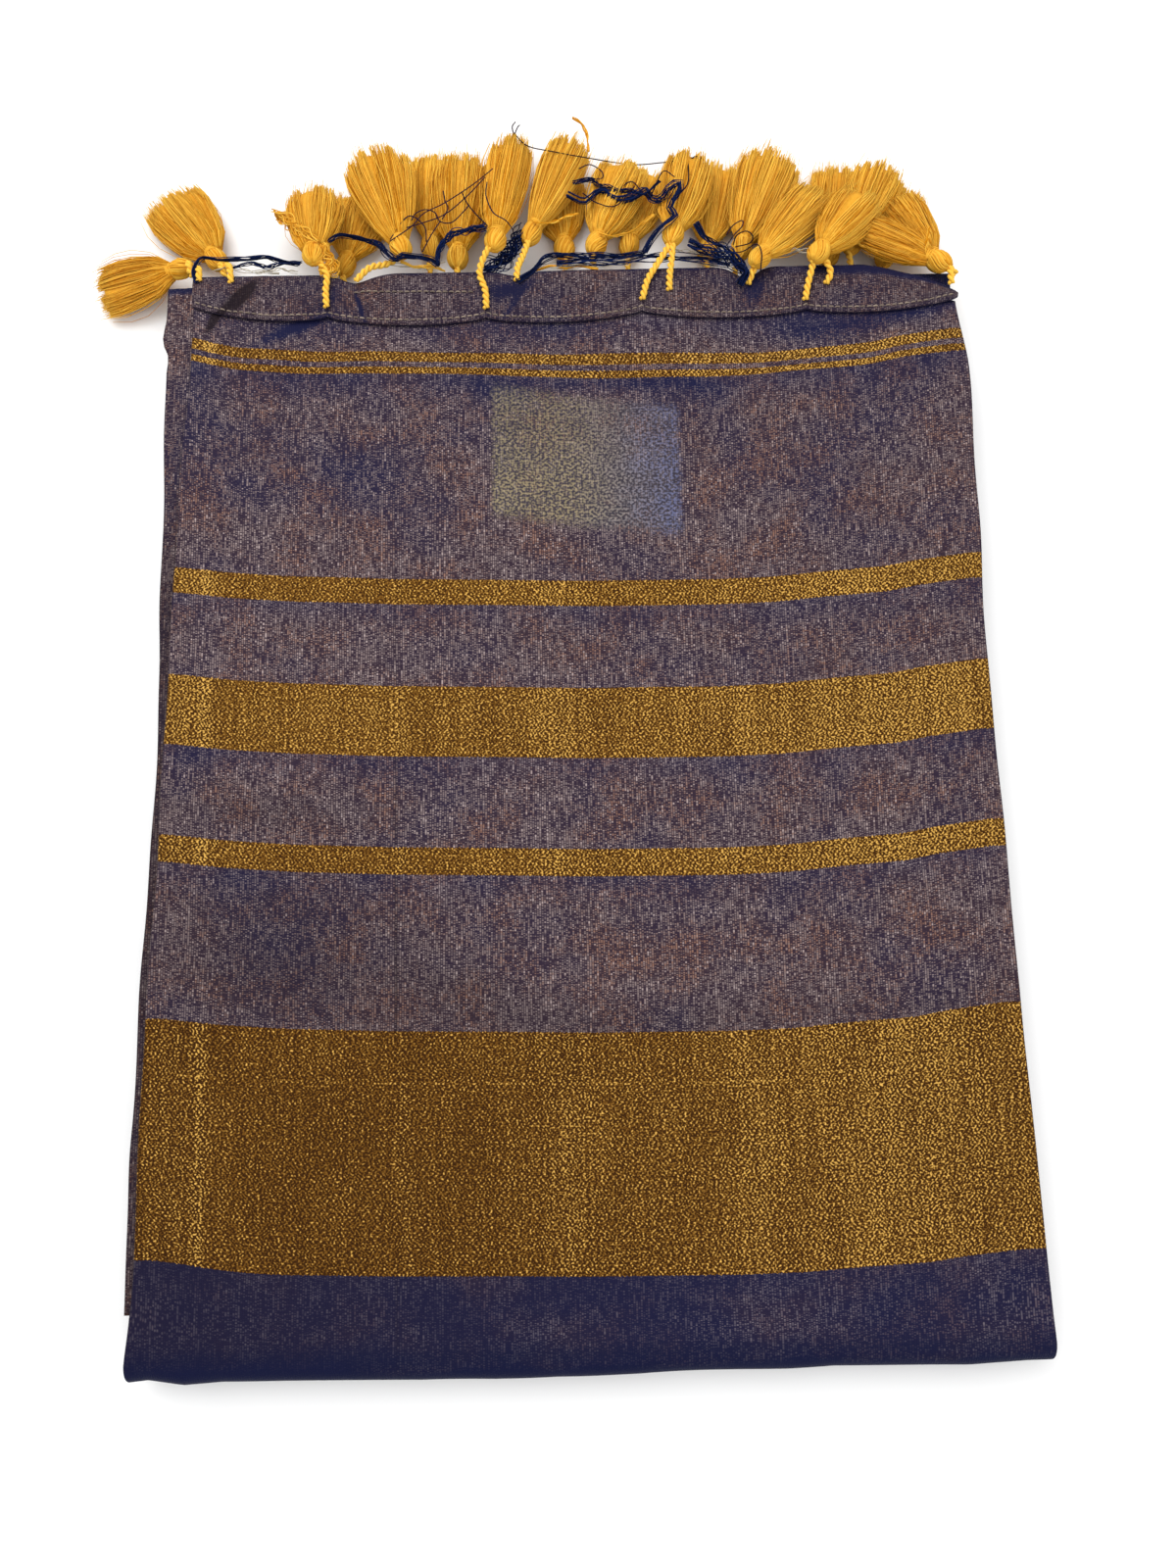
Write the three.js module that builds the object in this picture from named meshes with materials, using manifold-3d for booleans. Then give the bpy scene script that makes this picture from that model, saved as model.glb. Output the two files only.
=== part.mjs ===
// A folded saree: a plain navy tissue cloth 1.144 m wide and about 5.5 m long, folded in four across its
// width and then over and over along its length into a flat pack. The decorated end, the pallu, lies on top
// with its turned hem and a row of tassels at one end. Millimetres, +Z up, +Y towards the tassels. The
// origin is the centre of the pack's flat underside.
import * as THREE from "three";
import { mergeVertices } from "three/addons/utils/BufferGeometryUtils.js";
import Module from "manifold-3d";

const wasm = await Module();
wasm.setup();

// ---- Driving sizes ----
const CLOTH_WIDTH = 1144; // selvedge to selvedge
const PLIES_ACROSS = 4;
const FOLD_WIDTH = CLOTH_WIDTH / PLIES_ACROSS;
const FOLD_LENGTH = 369; // from the round fold at the front to the hem's crest
const HALF_LENGTH = FOLD_LENGTH / 2;
const SEAM_GAP = 0.3;

const STACK_HEIGHT = 14.2; // the hidden layers
const STACK_LAYERS = 7;
const SECOND_PLY_WALL = 1.7;
const FRONT_WALL = 2.0; // the top ply and the ply that is folded back under it
const HEM_WALL = 1.4; // three thicknesses of cloth
const SECOND_PLY_BASE = STACK_HEIGHT + SEAM_GAP;
const FRONT_BASE = SECOND_PLY_BASE + SECOND_PLY_WALL + SEAM_GAP;
const FRONT_MIDDLE = FRONT_BASE + FRONT_WALL / 2;

const NOSE_RADIUS = 5.2; // of the round fold at the front, at the middle of its wall
const NOSE_SWEEP = THREE.MathUtils.degToRad(150);
const NOSE_STEPS = 5;
const NOSE_CENTRE_Y = -(HALF_LENGTH - NOSE_RADIUS - FRONT_WALL / 2);
const RIM_BULGE = 0.8; // how far a folded edge rounds out past the flat of its ply

// ---- Outlines, seen from above ----
// The side edges of the top ply, which narrows towards the hem.
const FRONT_EDGES = [
  { y: 184, left: -132.6, right: 137.2 },
  { y: 150, left: -133.2, right: 140.2 },
  { y: 97, left: -136.2, right: 139.3 },
  { y: 37, left: -136.8, right: 138.6 },
  { y: -19, left: -138.4, right: 139.6 },
  { y: -76, left: -140.1, right: 140.4 },
  { y: -150, left: -141.0, right: 142.9 },
  { y: -184, left: -142.4, right: 143.6 },
];
// The side edges of the plies below it, which show as a margin on the left.
const PACK_EDGES = [
  { y: 184, left: -143.3, right: 137.8 },
  { y: 76, left: -141.8, right: 139.4 },
  { y: 21, left: -140.9, right: 139.6 },
  { y: -70, left: -143.5, right: 141.2 },
  { y: -166, left: -144.4, right: 143.4 },
  { y: -184, left: -143.8, right: 143.8 },
];
const SECOND_PLY_BACK = 182.4;
const SECOND_PLY_FRONT = -166.6; // it stops short of the front fold

// Where each hidden layer's edges stand, from the pack's edges on the sides, bottom layer first.
const LAYERS = [
  { side: 1.6, front: -182.8, back: 180.6 },
  { side: 0.4, front: -184.0, back: 182.2 },
  { side: 1.4, front: -182.9, back: 181.0 },
  { side: 0.3, front: -177.8, back: 182.5 },
  { side: 1.5, front: -177.8, back: 180.8 },
  { side: 0.5, front: -177.8, back: 182.3 },
  { side: 1.3, front: -177.8, back: 181.2 },
];
const LAYER_GROOVE = 1.1;
const PACK_CORNER = 5;

// The places where the front tassels hold the hem down: its stitched edge comes to a cusp at each.
const HEM_CUSPS = [
  { x: -133.4, y: 173.4 },
  { x: -85.6, y: 168.4 },
  { x: -29.3, y: 167.0 },
  { x: 26.1, y: 168.6 },
  { x: 84.5, y: 168.0 },
  { x: 138.4, y: 171.4 },
];
const HEM_SAG = 3.2; // how far the stitched edge swings forward between two cusps
const HEM_SAG_ROUND = 0.6; // below 1, so that each cusp is sharp
const HEM_CREST = 184.6;
const HEM_CREST_DROP = { from: 104, over: 34, by: 11, curve: 1.6 }; // it falls away at the right corner
const INSIDE_HEM = { middle: 7.4, corner: 2.2 }; // how far short of the crest the ply inside it ends
const HEM_DENTS = [
  { x: -76, depth: 3.4, width: 7 },
  { x: -18, depth: 4.2, width: 7 },
  { x: 65, depth: 4.6, width: 7 },
];

// The largest creases and puffs of the top ply: middle, turn from +X, half length, half width and rise.
const CREASES = [
  { x: -112, y: 136, turn: 48, long: 26, wide: 11, rise: -0.6 },
  { x: -66, y: 141, turn: 14, long: 34, wide: 11, rise: 0.5 },
  { x: 30, y: 140, turn: -6, long: 44, wide: 12, rise: 0.4 },
  { x: 116, y: 138, turn: 16, long: 26, wide: 11, rise: -0.5 },
  { x: -84, y: 20, turn: 86, long: 90, wide: 14, rise: 0.5 },
  { x: 62, y: -34, turn: 93, long: 110, wide: 16, rise: 0.45 },
  { x: -124, y: -112, turn: 80, long: 46, wide: 12, rise: 0.5 },
  { x: -108, y: -166, turn: 8, long: 30, wide: 11, rise: 0.6 },
  { x: 10, y: -158, turn: -3, long: 60, wide: 12, rise: -0.4 },
  { x: 110, y: -154, turn: 16, long: 34, wide: 12, rise: 0.5 },
];
const CREASES_END_AT = { from: 146, to: 158 }; // the ply is held flat under its hem

// ---- Tassels ----
const HEAD_RADIUS = 3.9;
const HEAD_HALF_LENGTH = 4.8;
const HEAD_SIDES = 7;
const CORD_RADIUS = 1.1; // the two-ply cord from hem to head
const CORD_SIDES = 5;
const CORD_STEPS = 4;
const LOCKS_ABOVE = 5;
const LOCKS_BELOW = 4;
const LOCK = { root: 0.8, middle: 0.125, tip: 0.18 }; // corner radius of a lock, the last two as shares of half
const LOCK_LIFT = 1.1; // each row of locks from the tassel's own middle
const LOCK_ROUTE = {
  root: { reach: 0.4 * HEAD_HALF_LENGTH, narrow: 0.12, lift: 0.3 }, // inside the head
  middle: { share: 0.45, narrow: 0.56 }, // of the skirt's length, and of its spread there
};
const LOCK_UNEVEN = { round: 0.07, ragged: 0.025 }; // how the skirt's end is cut, as shares of its length
const CORD_BEND = { share: 0.55, rise: 0.2 };

// Where each cord leaves the hem, the middle of the head, the middle of the skirt's end, and the skirt's
// half width there. The letter is the level: a lies on the floor, b and c on others, d hangs from the top.
const TASSELS = [
  { name: "d1", root: [-134.8, 186, 17.4], head: [-141.5, 193.4, 10.5], tip: [-172, 188.5, 3.8], half: 10.5 },
  { name: "c1", root: [-123.5, 186.4, 15], head: [-129.5, 198.5, 7.6], tip: [-147, 227, 3.3], half: 9.5 },
  { name: "d2", root: [-85.2, 169.4, 21.7], head: [-90.4, 190.2, 22.4], tip: [-93.6, 221.5, 9.4], half: 9.5 },
  { name: "a1", root: [-82, 183.2, 5.4], head: [-82.5, 197.5, 4.5], tip: [-78.5, 225, 3.1], half: 8 },
  { name: "d3", root: [-75.4, 180.4, 21.7], head: [-59.5, 193.4, 20.6], tip: [-70.5, 235, 9.8], half: 11.5 },
  { name: "a2", root: [-51, 183.2, 5.4], head: [-51, 204.5, 4.5], tip: [-49, 242.5, 3.1], half: 8.5 },
  { name: "b1", root: [-40, 183.2, 11.4], head: [-40.2, 195.6, 10.8], tip: [-37.5, 234.5, 8.5], half: 7 },
  { name: "d4", root: [-29.2, 168.6, 21.7], head: [-25.6, 194.4, 22.4], tip: [-19.6, 241.8, 9.4], half: 7 },
  { name: "c2", root: [-17.8, 180.6, 21.7], head: [-13, 201.4, 15.4], tip: [2, 241, 9], half: 7.5 },
  { name: "a3", root: [-1.5, 183.2, 5.4], head: [-1.2, 202.6, 4.5], tip: [-3, 230, 3.1], half: 8.5 },
  { name: "b2", root: [9.5, 183.2, 11.4], head: [10.6, 199.8, 10.8], tip: [21, 231, 8.7], half: 7.5 },
  { name: "a4", root: [22, 183.2, 5.4], head: [23, 203.5, 4.5], tip: [28.5, 235, 3.1], half: 8.5 },
  { name: "d5", root: [26.3, 170.2, 21.7], head: [38, 196.5, 20.6], tip: [46.5, 233, 9.4], half: 9 },
  { name: "a5", root: [52, 183.2, 5.4], head: [52, 201, 4.5], tip: [57.5, 235.5, 3.1], half: 8.5 },
  { name: "b3", root: [60, 183.4, 12.4], head: [63.5, 196.5, 11.6], tip: [77.5, 233, 9], half: 9.5 },
  { name: "d6", root: [64, 176.6, 21.7], head: [68, 184.2, 24.6], tip: [91.2, 216.8, 11], half: 7 },
  { name: "d7", root: [84.3, 169.2, 21.7], head: [88.8, 185.6, 24.8], tip: [108, 211.5, 15.6], half: 7.5 },
  { name: "a6", root: [97, 183.2, 5.4], head: [97.5, 198.5, 4.5], tip: [103.5, 236, 3.1], half: 8 },
  { name: "b4", root: [103.5, 183.4, 11.4], head: [104.5, 198.5, 10.8], tip: [114.3, 234, 8.5], half: 7 },
  { name: "a7", root: [117, 183.2, 5.4], head: [118, 197, 4.5], tip: [125, 227, 3], half: 6.5 },
  { name: "c3", root: [140, 182.4, 15.4], head: [134.5, 190, 11.6], tip: [124, 214, 8.8], half: 6.5 },
  { name: "d8", root: [136, 174.8, 21.7], head: [132.5, 184, 20.8], tip: [113.5, 202, 15.4], half: 6 },
];

// ---- Cloth colours ----
const finish = (color, roughness, metalness = 0) =>
  new THREE.MeshStandardMaterial({ color, roughness, metalness });
const FINISHES = {
  tissueCloth: finish(0x54475a, 0.6, 0.1),
  foldedCloth: finish(0x3a3d5c, 0.75),
  hemCloth: finish(0x54474f, 0.7),
  tasselYarn: finish(0xd9962c, 0.85),
};

// ---- Helpers ----
// The value of a table's column at a place, eased between its rows.
function along(rows, key, at, column) {
  const inOrder = [...rows].sort((a, b) => a[key] - b[key]);
  const next = inOrder.findIndex((row) => row[key] >= at);
  if (next === 0) return inOrder[0][column];
  if (next < 0) return inOrder.at(-1)[column];
  const [a, b] = [inOrder[next - 1], inOrder[next]];
  return THREE.MathUtils.lerp(a[column], b[column], THREE.MathUtils.smoothstep(at, a[key], b[key]));
}

function surface(points, faces) {
  const geometry = new THREE.BufferGeometry();
  const numbers = points.flatMap((p) => [p.x, p.y, p.z]);
  geometry.setAttribute("position", new THREE.Float32BufferAttribute(numbers, 3));
  geometry.setIndex(faces.flat());
  geometry.computeVertexNormals();
  return geometry;
}

const quad = (a, b, c, d) => [[a, b, c], [a, c, d]];

// A cloth wall from two grids of points and a line of points round its edge.
function closedWall(rows, columns, outer, inner, rim) {
  const points = [];
  const gridOf = (place) => {
    const first = points.length;
    for (let i = 0; i < rows; i++) for (let j = 0; j < columns; j++) points.push(place(i, j));
    return (i, j) => first + i * columns + j;
  };
  const top = gridOf(outer);
  const under = gridOf(inner);
  const faces = [];
  for (let i = 0; i < rows - 1; i++)
    for (let j = 0; j < columns - 1; j++) {
      faces.push(...quad(top(i, j), top(i + 1, j), top(i + 1, j + 1), top(i, j + 1)));
      faces.push(...quad(under(i, j), under(i, j + 1), under(i + 1, j + 1), under(i + 1, j)));
    }
  const border = [];
  for (let j = 0; j < columns - 1; j++) border.push([0, j]);
  for (let i = 0; i < rows - 1; i++) border.push([i, columns - 1]);
  for (let j = columns - 1; j > 0; j--) border.push([rows - 1, j]);
  for (let i = rows - 1; i > 0; i--) border.push([i, 0]);
  const firstRim = points.length;
  border.forEach(([i, j]) => points.push(rim(i, j)));
  border.forEach(([i, j], n) => {
    const m = (n + 1) % border.length;
    const [k, l] = border[m];
    faces.push(...quad(top(i, j), top(k, l), firstRim + m, firstRim + n));
    faces.push(...quad(firstRim + n, firstRim + m, under(k, l), under(i, j)));
  });
  return surface(points, faces);
}

// A strand of a few sides through a row of points, each with its own radius.
function strand(route, radii, sides, turn = 0) {
  const points = [];
  const faces = [];
  const tangentAt = (i) =>
    route[Math.min(i + 1, route.length - 1)].clone().sub(route[Math.max(i - 1, 0)]).normalize();
  route.forEach((centre, i) => {
    const tangent = tangentAt(i);
    const across = new THREE.Vector3().crossVectors(tangent, new THREE.Vector3(0, 0, 1)).normalize();
    const up = new THREE.Vector3().crossVectors(across, tangent);
    for (let k = 0; k < sides; k++) {
      const angle = turn + (2 * Math.PI * k) / sides;
      const point = centre.clone().addScaledVector(across, radii[i] * Math.cos(angle));
      points.push(point.addScaledVector(up, radii[i] * Math.sin(angle)));
    }
  });
  for (let i = 0; i < route.length - 1; i++)
    for (let k = 0; k < sides; k++) {
      const next = (k + 1) % sides;
      faces.push(...quad(i * sides + next, i * sides + k, (i + 1) * sides + k, (i + 1) * sides + next));
    }
  const last = (route.length - 1) * sides;
  for (let k = 1; k < sides - 1; k++) faces.push([0, k, k + 1], [last, last + k + 1, last + k]);
  return surface(points, faces);
}

const MERGE_TOLERANCE = 1e-4;
function toSolid(geometry) {
  geometry.deleteAttribute("normal");
  geometry.deleteAttribute("uv");
  const merged = mergeVertices(geometry, MERGE_TOLERANCE);
  return new wasm.Manifold(
    new wasm.Mesh({
      numProp: 3,
      vertProperties: new Float32Array(merged.attributes.position.array),
      triVerts: new Uint32Array(merged.index.array),
    }),
  );
}

function toGeometry(solid) {
  const mesh = solid.getMesh();
  const geometry = new THREE.BufferGeometry();
  geometry.setAttribute("position", new THREE.BufferAttribute(new Float32Array(mesh.vertProperties), 3));
  geometry.setIndex(new THREE.BufferAttribute(new Uint32Array(mesh.triVerts), 1));
  geometry.computeVertexNormals();
  return geometry;
}

const saree = new THREE.Group();
saree.name = "folded_saree";

function add(name, geometry, material) {
  const mesh = new THREE.Mesh(geometry, material);
  mesh.name = name;
  saree.add(mesh);
}

// ---- The hidden layers: one rounded block, grooved at its edges where the plies lie on each other ----
function layerRing(layer, inset, z) {
  const front = layer.front + inset;
  const back = layer.back - inset;
  const sideStations = 6;
  const endStations = 3;
  const cornerSteps = 2;
  const left = (y) => along(PACK_EDGES, "y", y, "left") + layer.side + inset;
  const right = (y) => along(PACK_EDGES, "y", y, "right") - layer.side - inset;
  const ring = [];
  const corner = (y, outward, start) => {
    const x = outward > 0 ? right(y) - PACK_CORNER : left(y) + PACK_CORNER;
    for (let n = 1; n <= cornerSteps; n++) {
      const angle = start + (Math.PI / 2) * (n / (cornerSteps + 1));
      ring.push(new THREE.Vector3(x + PACK_CORNER * Math.cos(angle), y + PACK_CORNER * Math.sin(angle), z));
    }
  };
  const low = front + PACK_CORNER;
  const high = back - PACK_CORNER;
  for (let n = 0; n < sideStations; n++) {
    const y = THREE.MathUtils.lerp(low, high, n / (sideStations - 1));
    ring.push(new THREE.Vector3(right(y), y, z));
  }
  corner(high, 1, 0);
  for (let n = 0; n < endStations; n++) {
    const share = n / (endStations - 1);
    const x = THREE.MathUtils.lerp(right(high) - PACK_CORNER, left(high) + PACK_CORNER, share);
    ring.push(new THREE.Vector3(x, back, z));
  }
  corner(high, -1, Math.PI / 2);
  for (let n = 0; n < sideStations; n++) {
    const y = THREE.MathUtils.lerp(high, low, n / (sideStations - 1));
    ring.push(new THREE.Vector3(left(y), y, z));
  }
  corner(low, -1, Math.PI);
  for (let n = 0; n < endStations; n++) {
    const share = n / (endStations - 1);
    const x = THREE.MathUtils.lerp(left(low) + PACK_CORNER, right(low) - PACK_CORNER, share);
    ring.push(new THREE.Vector3(x, front, z));
  }
  corner(low, 1, 1.5 * Math.PI);
  return ring;
}

function foldedLayers() {
  const height = STACK_HEIGHT / STACK_LAYERS;
  const rings = [];
  LAYERS.forEach((layer, n) => {
    const isFirst = n === 0;
    const below = isFirst ? layer : LAYERS[n - 1];
    const meeting = {
      side: Math.max(layer.side, below.side),
      front: Math.max(layer.front, below.front),
      back: Math.min(layer.back, below.back),
    };
    rings.push(layerRing(meeting, LAYER_GROOVE, n * height));
    rings.push(layerRing(layer, 0, (n + 0.5) * height));
  });
  rings.push(layerRing(LAYERS.at(-1), LAYER_GROOVE, STACK_HEIGHT));
  const size = rings[0].length;
  const points = rings.flat();
  const faces = [];
  for (let i = 0; i < rings.length - 1; i++)
    for (let k = 0; k < size; k++) {
      const next = (k + 1) % size;
      faces.push(...quad(i * size + k, i * size + next, (i + 1) * size + next, (i + 1) * size + k));
    }
  const bottom = points.push(new THREE.Vector3(0, 0, 0)) - 1;
  const top = points.push(new THREE.Vector3(0, 0, STACK_HEIGHT)) - 1;
  const last = (rings.length - 1) * size;
  for (let k = 0; k < size; k++) {
    const next = (k + 1) % size;
    faces.push([bottom, next, k], [top, last + k, last + next]);
  }
  return surface(points, faces);
}

// ---- The ply below the top one, which stops short of the front fold and stands out on the left ----
function secondPly() {
  const rows = 12;
  const columns = 6;
  const middle = SECOND_PLY_BASE + SECOND_PLY_WALL / 2;
  const place = (i, j, z, inset) => {
    const y = THREE.MathUtils.lerp(SECOND_PLY_BACK - inset, SECOND_PLY_FRONT + inset, i / (rows - 1));
    const left = along(PACK_EDGES, "y", y, "left") + inset;
    const right = along(PACK_EDGES, "y", y, "right") - inset;
    return new THREE.Vector3(THREE.MathUtils.lerp(left, right, j / (columns - 1)), y, z);
  };
  return closedWall(
    rows,
    columns,
    (i, j) => place(i, j, SECOND_PLY_BASE + SECOND_PLY_WALL, RIM_BULGE),
    (i, j) => place(i, j, SECOND_PLY_BASE, RIM_BULGE),
    (i, j) => place(i, j, middle, 0),
  );
}

// ---- The top ply, with the pallu's stripes woven in, from under the hem to the front fold ----
function relief(x, y) {
  const held = 1 - THREE.MathUtils.smoothstep(y, CREASES_END_AT.from, CREASES_END_AT.to);
  return held * CREASES.reduce((sum, crease) => {
    const turn = THREE.MathUtils.degToRad(crease.turn);
    const dx = x - crease.x;
    const dy = y - crease.y;
    const lengthwise = (dx * Math.cos(turn) + dy * Math.sin(turn)) / crease.long;
    const crosswise = (dy * Math.cos(turn) - dx * Math.sin(turn)) / crease.wide;
    return sum + crease.rise * Math.exp(-(lengthwise ** 2) - crosswise ** 2);
  }, 0);
}

function cornerFall(x) {
  const { from, over, by, curve } = HEM_CREST_DROP;
  return Math.max(0, (x - from) / over) ** curve * by;
}

function crestAt(x) {
  const dentAt = (dent) => dent.depth * Math.exp(-(((x - dent.x) / dent.width) ** 2));
  return HEM_CREST - cornerFall(x) - HEM_DENTS.reduce((sum, dent) => sum + dentAt(dent), 0);
}

// The ply's own end, inside the rolled hem.
function plyEndAt(x) {
  const fall = cornerFall(x);
  const { middle, corner } = INSIDE_HEM;
  return HEM_CREST - fall - THREE.MathUtils.lerp(middle, corner, fall / HEM_CREST_DROP.by);
}

// The wall's middle line at a share of the way from hem to front fold: a place and the way out of the cloth.
const FLAT_ROWS = 21;
const ROW_CROWDING = 1.15; // the rows lie closer together near the hem
function frontLine(row, x) {
  if (row < FLAT_ROWS) {
    const share = row / (FLAT_ROWS - 1);
    const y = THREE.MathUtils.lerp(plyEndAt(x), NOSE_CENTRE_Y, share ** ROW_CROWDING);
    return { y, z: FRONT_MIDDLE, outY: 0, outZ: 1 };
  }
  const angle = (NOSE_SWEEP * (row - FLAT_ROWS + 1)) / NOSE_STEPS;
  const [outY, outZ] = [-Math.sin(angle), Math.cos(angle)];
  const centreZ = FRONT_MIDDLE - NOSE_RADIUS;
  return { y: NOSE_CENTRE_Y + NOSE_RADIUS * outY, z: centreZ + NOSE_RADIUS * outZ, outY, outZ };
}

function frontPly() {
  const rows = FLAT_ROWS + NOSE_STEPS;
  const columns = 19;
  const place = (i, j, outward, inset) => {
    const share = j / (columns - 1);
    const guess = THREE.MathUtils.lerp(-FOLD_WIDTH / 2, FOLD_WIDTH / 2, share);
    const line = frontLine(i, guess);
    const left = along(FRONT_EDGES, "y", line.y, "left") + inset;
    const right = along(FRONT_EDGES, "y", line.y, "right") - inset;
    const x = THREE.MathUtils.lerp(left, right, share);
    const rise = outward > 0 && i < FLAT_ROWS ? relief(x, line.y) : 0;
    const out = outward + rise;
    return new THREE.Vector3(x, line.y + line.outY * out, line.z + line.outZ * out);
  };
  const rim = (i, j) => {
    const p = place(i, j, 0, j === 0 || j === columns - 1 ? 0 : RIM_BULGE);
    if (i === 0) p.y += RIM_BULGE;
    return p;
  };
  return closedWall(
    rows,
    columns,
    (i, j) => place(i, j, FRONT_WALL / 2, RIM_BULGE),
    (i, j) => place(i, j, -FRONT_WALL / 2, RIM_BULGE),
    rim,
  );
}

// ---- The turned hem: from its stitched, scalloped edge back over the top ply and down round its end ----
function stitchedEdgeAt(x) {
  const next = Math.max(1, HEM_CUSPS.findIndex((cusp) => cusp.x >= x));
  const [a, b] = [HEM_CUSPS[next - 1], HEM_CUSPS[next]];
  const share = THREE.MathUtils.clamp((x - a.x) / (b.x - a.x), 0, 1);
  return THREE.MathUtils.lerp(a.y, b.y, share) - HEM_SAG * Math.sin(Math.PI * share) ** HEM_SAG_ROUND;
}

const HEM_SECTION = [
  { back: 0, down: 0, turn: 0 },
  { back: 0.35, down: 0, turn: 0 },
  { back: 0.7, down: 0, turn: 0 },
  { back: 0.93, down: 0.1, turn: 25 },
  { back: 1.0, down: 1.0, turn: 70 },
  { back: 1.0, down: 2.6, turn: 100 },
];

function hemFront() {
  const rows = HEM_SECTION.length;
  const columns = 45;
  const ends = { left: -133.0, right: 137.6 };
  const flat = FRONT_BASE + FRONT_WALL + SEAM_GAP + HEM_WALL / 2;
  const place = (i, j, outward, inset) => {
    const section = HEM_SECTION[rows - 1 - i];
    const x = THREE.MathUtils.lerp(ends.left + inset, ends.right - inset, j / (columns - 1));
    const y = THREE.MathUtils.lerp(stitchedEdgeAt(x), crestAt(x) - HEM_WALL / 2, section.back);
    const turn = THREE.MathUtils.degToRad(section.turn);
    const z = flat - section.down + Math.cos(turn) * (outward + relief(x, y));
    return new THREE.Vector3(x, y + outward * Math.sin(turn), z);
  };
  const half = HEM_WALL / 2;
  const rim = (i, j) => {
    const p = place(i, j, 0, j === 0 || j === columns - 1 ? 0 : RIM_BULGE);
    if (i === rows - 1) p.y -= half;
    if (i === 0) p.z -= half / 2;
    return p;
  };
  return closedWall(
    rows,
    columns,
    (i, j) => place(i, j, half, RIM_BULGE),
    (i, j) => place(i, j, -half, RIM_BULGE),
    rim,
  );
}

// ---- A tassel: cord, wound head and a flattened skirt of separate locks, fused at the head ----
function tasselHead(centre, axis) {
  const profile = [
    [0, -HEAD_HALF_LENGTH],
    [0.62 * HEAD_RADIUS, -0.8 * HEAD_HALF_LENGTH],
    [HEAD_RADIUS, -0.1 * HEAD_HALF_LENGTH],
    [0.72 * HEAD_RADIUS, 0.7 * HEAD_HALF_LENGTH],
    [0, HEAD_HALF_LENGTH],
  ].map(([r, h]) => new THREE.Vector2(r, h));
  const head = new THREE.LatheGeometry(profile, HEAD_SIDES);
  const turn = new THREE.Quaternion().setFromUnitVectors(new THREE.Vector3(0, 1, 0), axis);
  head.applyQuaternion(turn);
  head.translate(centre.x, centre.y, centre.z);
  return head;
}

function tasselLock(frame, share, side) {
  const { head, axis, across, up, length, half } = frame;
  const cut = 1 - LOCK_UNEVEN.round * share ** 2 + LOCK_UNEVEN.ragged * Math.sin(9 * share + 2 * side);
  const at = (reach, narrow, lift) =>
    head
      .clone()
      .addScaledVector(axis, reach)
      .addScaledVector(across, share * half * narrow)
      .addScaledVector(up, side * lift);
  const route = [
    at(LOCK_ROUTE.root.reach, LOCK_ROUTE.root.narrow, LOCK_ROUTE.root.lift),
    at(LOCK_ROUTE.middle.share * length, LOCK_ROUTE.middle.narrow, LOCK_LIFT),
    at(length * cut, 1, LOCK_LIFT),
  ];
  return strand(route, [LOCK.root, LOCK.middle * half, LOCK.tip * half], 3, (side * Math.PI) / 2);
}

function tassel({ root, head, tip, half }) {
  const [rootAt, headAt, tipAt] = [root, head, tip].map((p) => new THREE.Vector3(...p));
  const skirt = tipAt.clone().sub(headAt);
  const axis = skirt.clone().normalize();
  const across = new THREE.Vector3().crossVectors(axis, new THREE.Vector3(0, 0, 1)).normalize();
  const up = new THREE.Vector3().crossVectors(across, axis);
  const frame = { head: headAt, axis, across, up, length: skirt.length(), half };
  const pieces = [tasselHead(headAt, axis)];
  for (let n = 0; n < LOCKS_ABOVE; n++) pieces.push(tasselLock(frame, (2 * n) / (LOCKS_ABOVE - 1) - 1, 1));
  for (let n = 0; n < LOCKS_BELOW; n++) pieces.push(tasselLock(frame, (2 * n + 1) / LOCKS_BELOW - 1, -1));
  const neck = headAt.clone().addScaledVector(axis, -0.5 * HEAD_HALF_LENGTH);
  const bend = rootAt.clone().lerp(neck, CORD_BEND.share);
  bend.z = Math.max(rootAt.z, neck.z) + CORD_BEND.rise;
  const cordRoute = new THREE.CatmullRomCurve3([rootAt, bend, neck]).getPoints(CORD_STEPS);
  pieces.push(strand(cordRoute, cordRoute.map(() => CORD_RADIUS), CORD_SIDES));
  return toGeometry(wasm.Manifold.union(pieces.map(toSolid)));
}

add("folded_layers", foldedLayers(), FINISHES.foldedCloth);
add("second_ply", secondPly(), FINISHES.tissueCloth);
add("pallu_front_ply", frontPly(), FINISHES.tissueCloth);
add("pallu_hem", hemFront(), FINISHES.hemCloth);
TASSELS.forEach((row) => add(`tassel_${row.name}`, tassel(row), FINISHES.tasselYarn));

export default saree;
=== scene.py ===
# %% [markdown]
# # A folded saree with a tasselled pallu
# A saree is one long cloth with no cut shape at all. This one is a navy tissue cloth, 1.144 m wide and
# about 5.5 m long, folded in four across its width and then over and over into a flat pack. On top lies
# the pallu, the decorated end: woven gold stripes, a turned hem, and yellow tassels tied along the edge.
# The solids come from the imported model. This script dresses them, and never moves them.

# %% Load the frame
import math

import bpy
import numpy as np
from mathutils import Matrix


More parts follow.
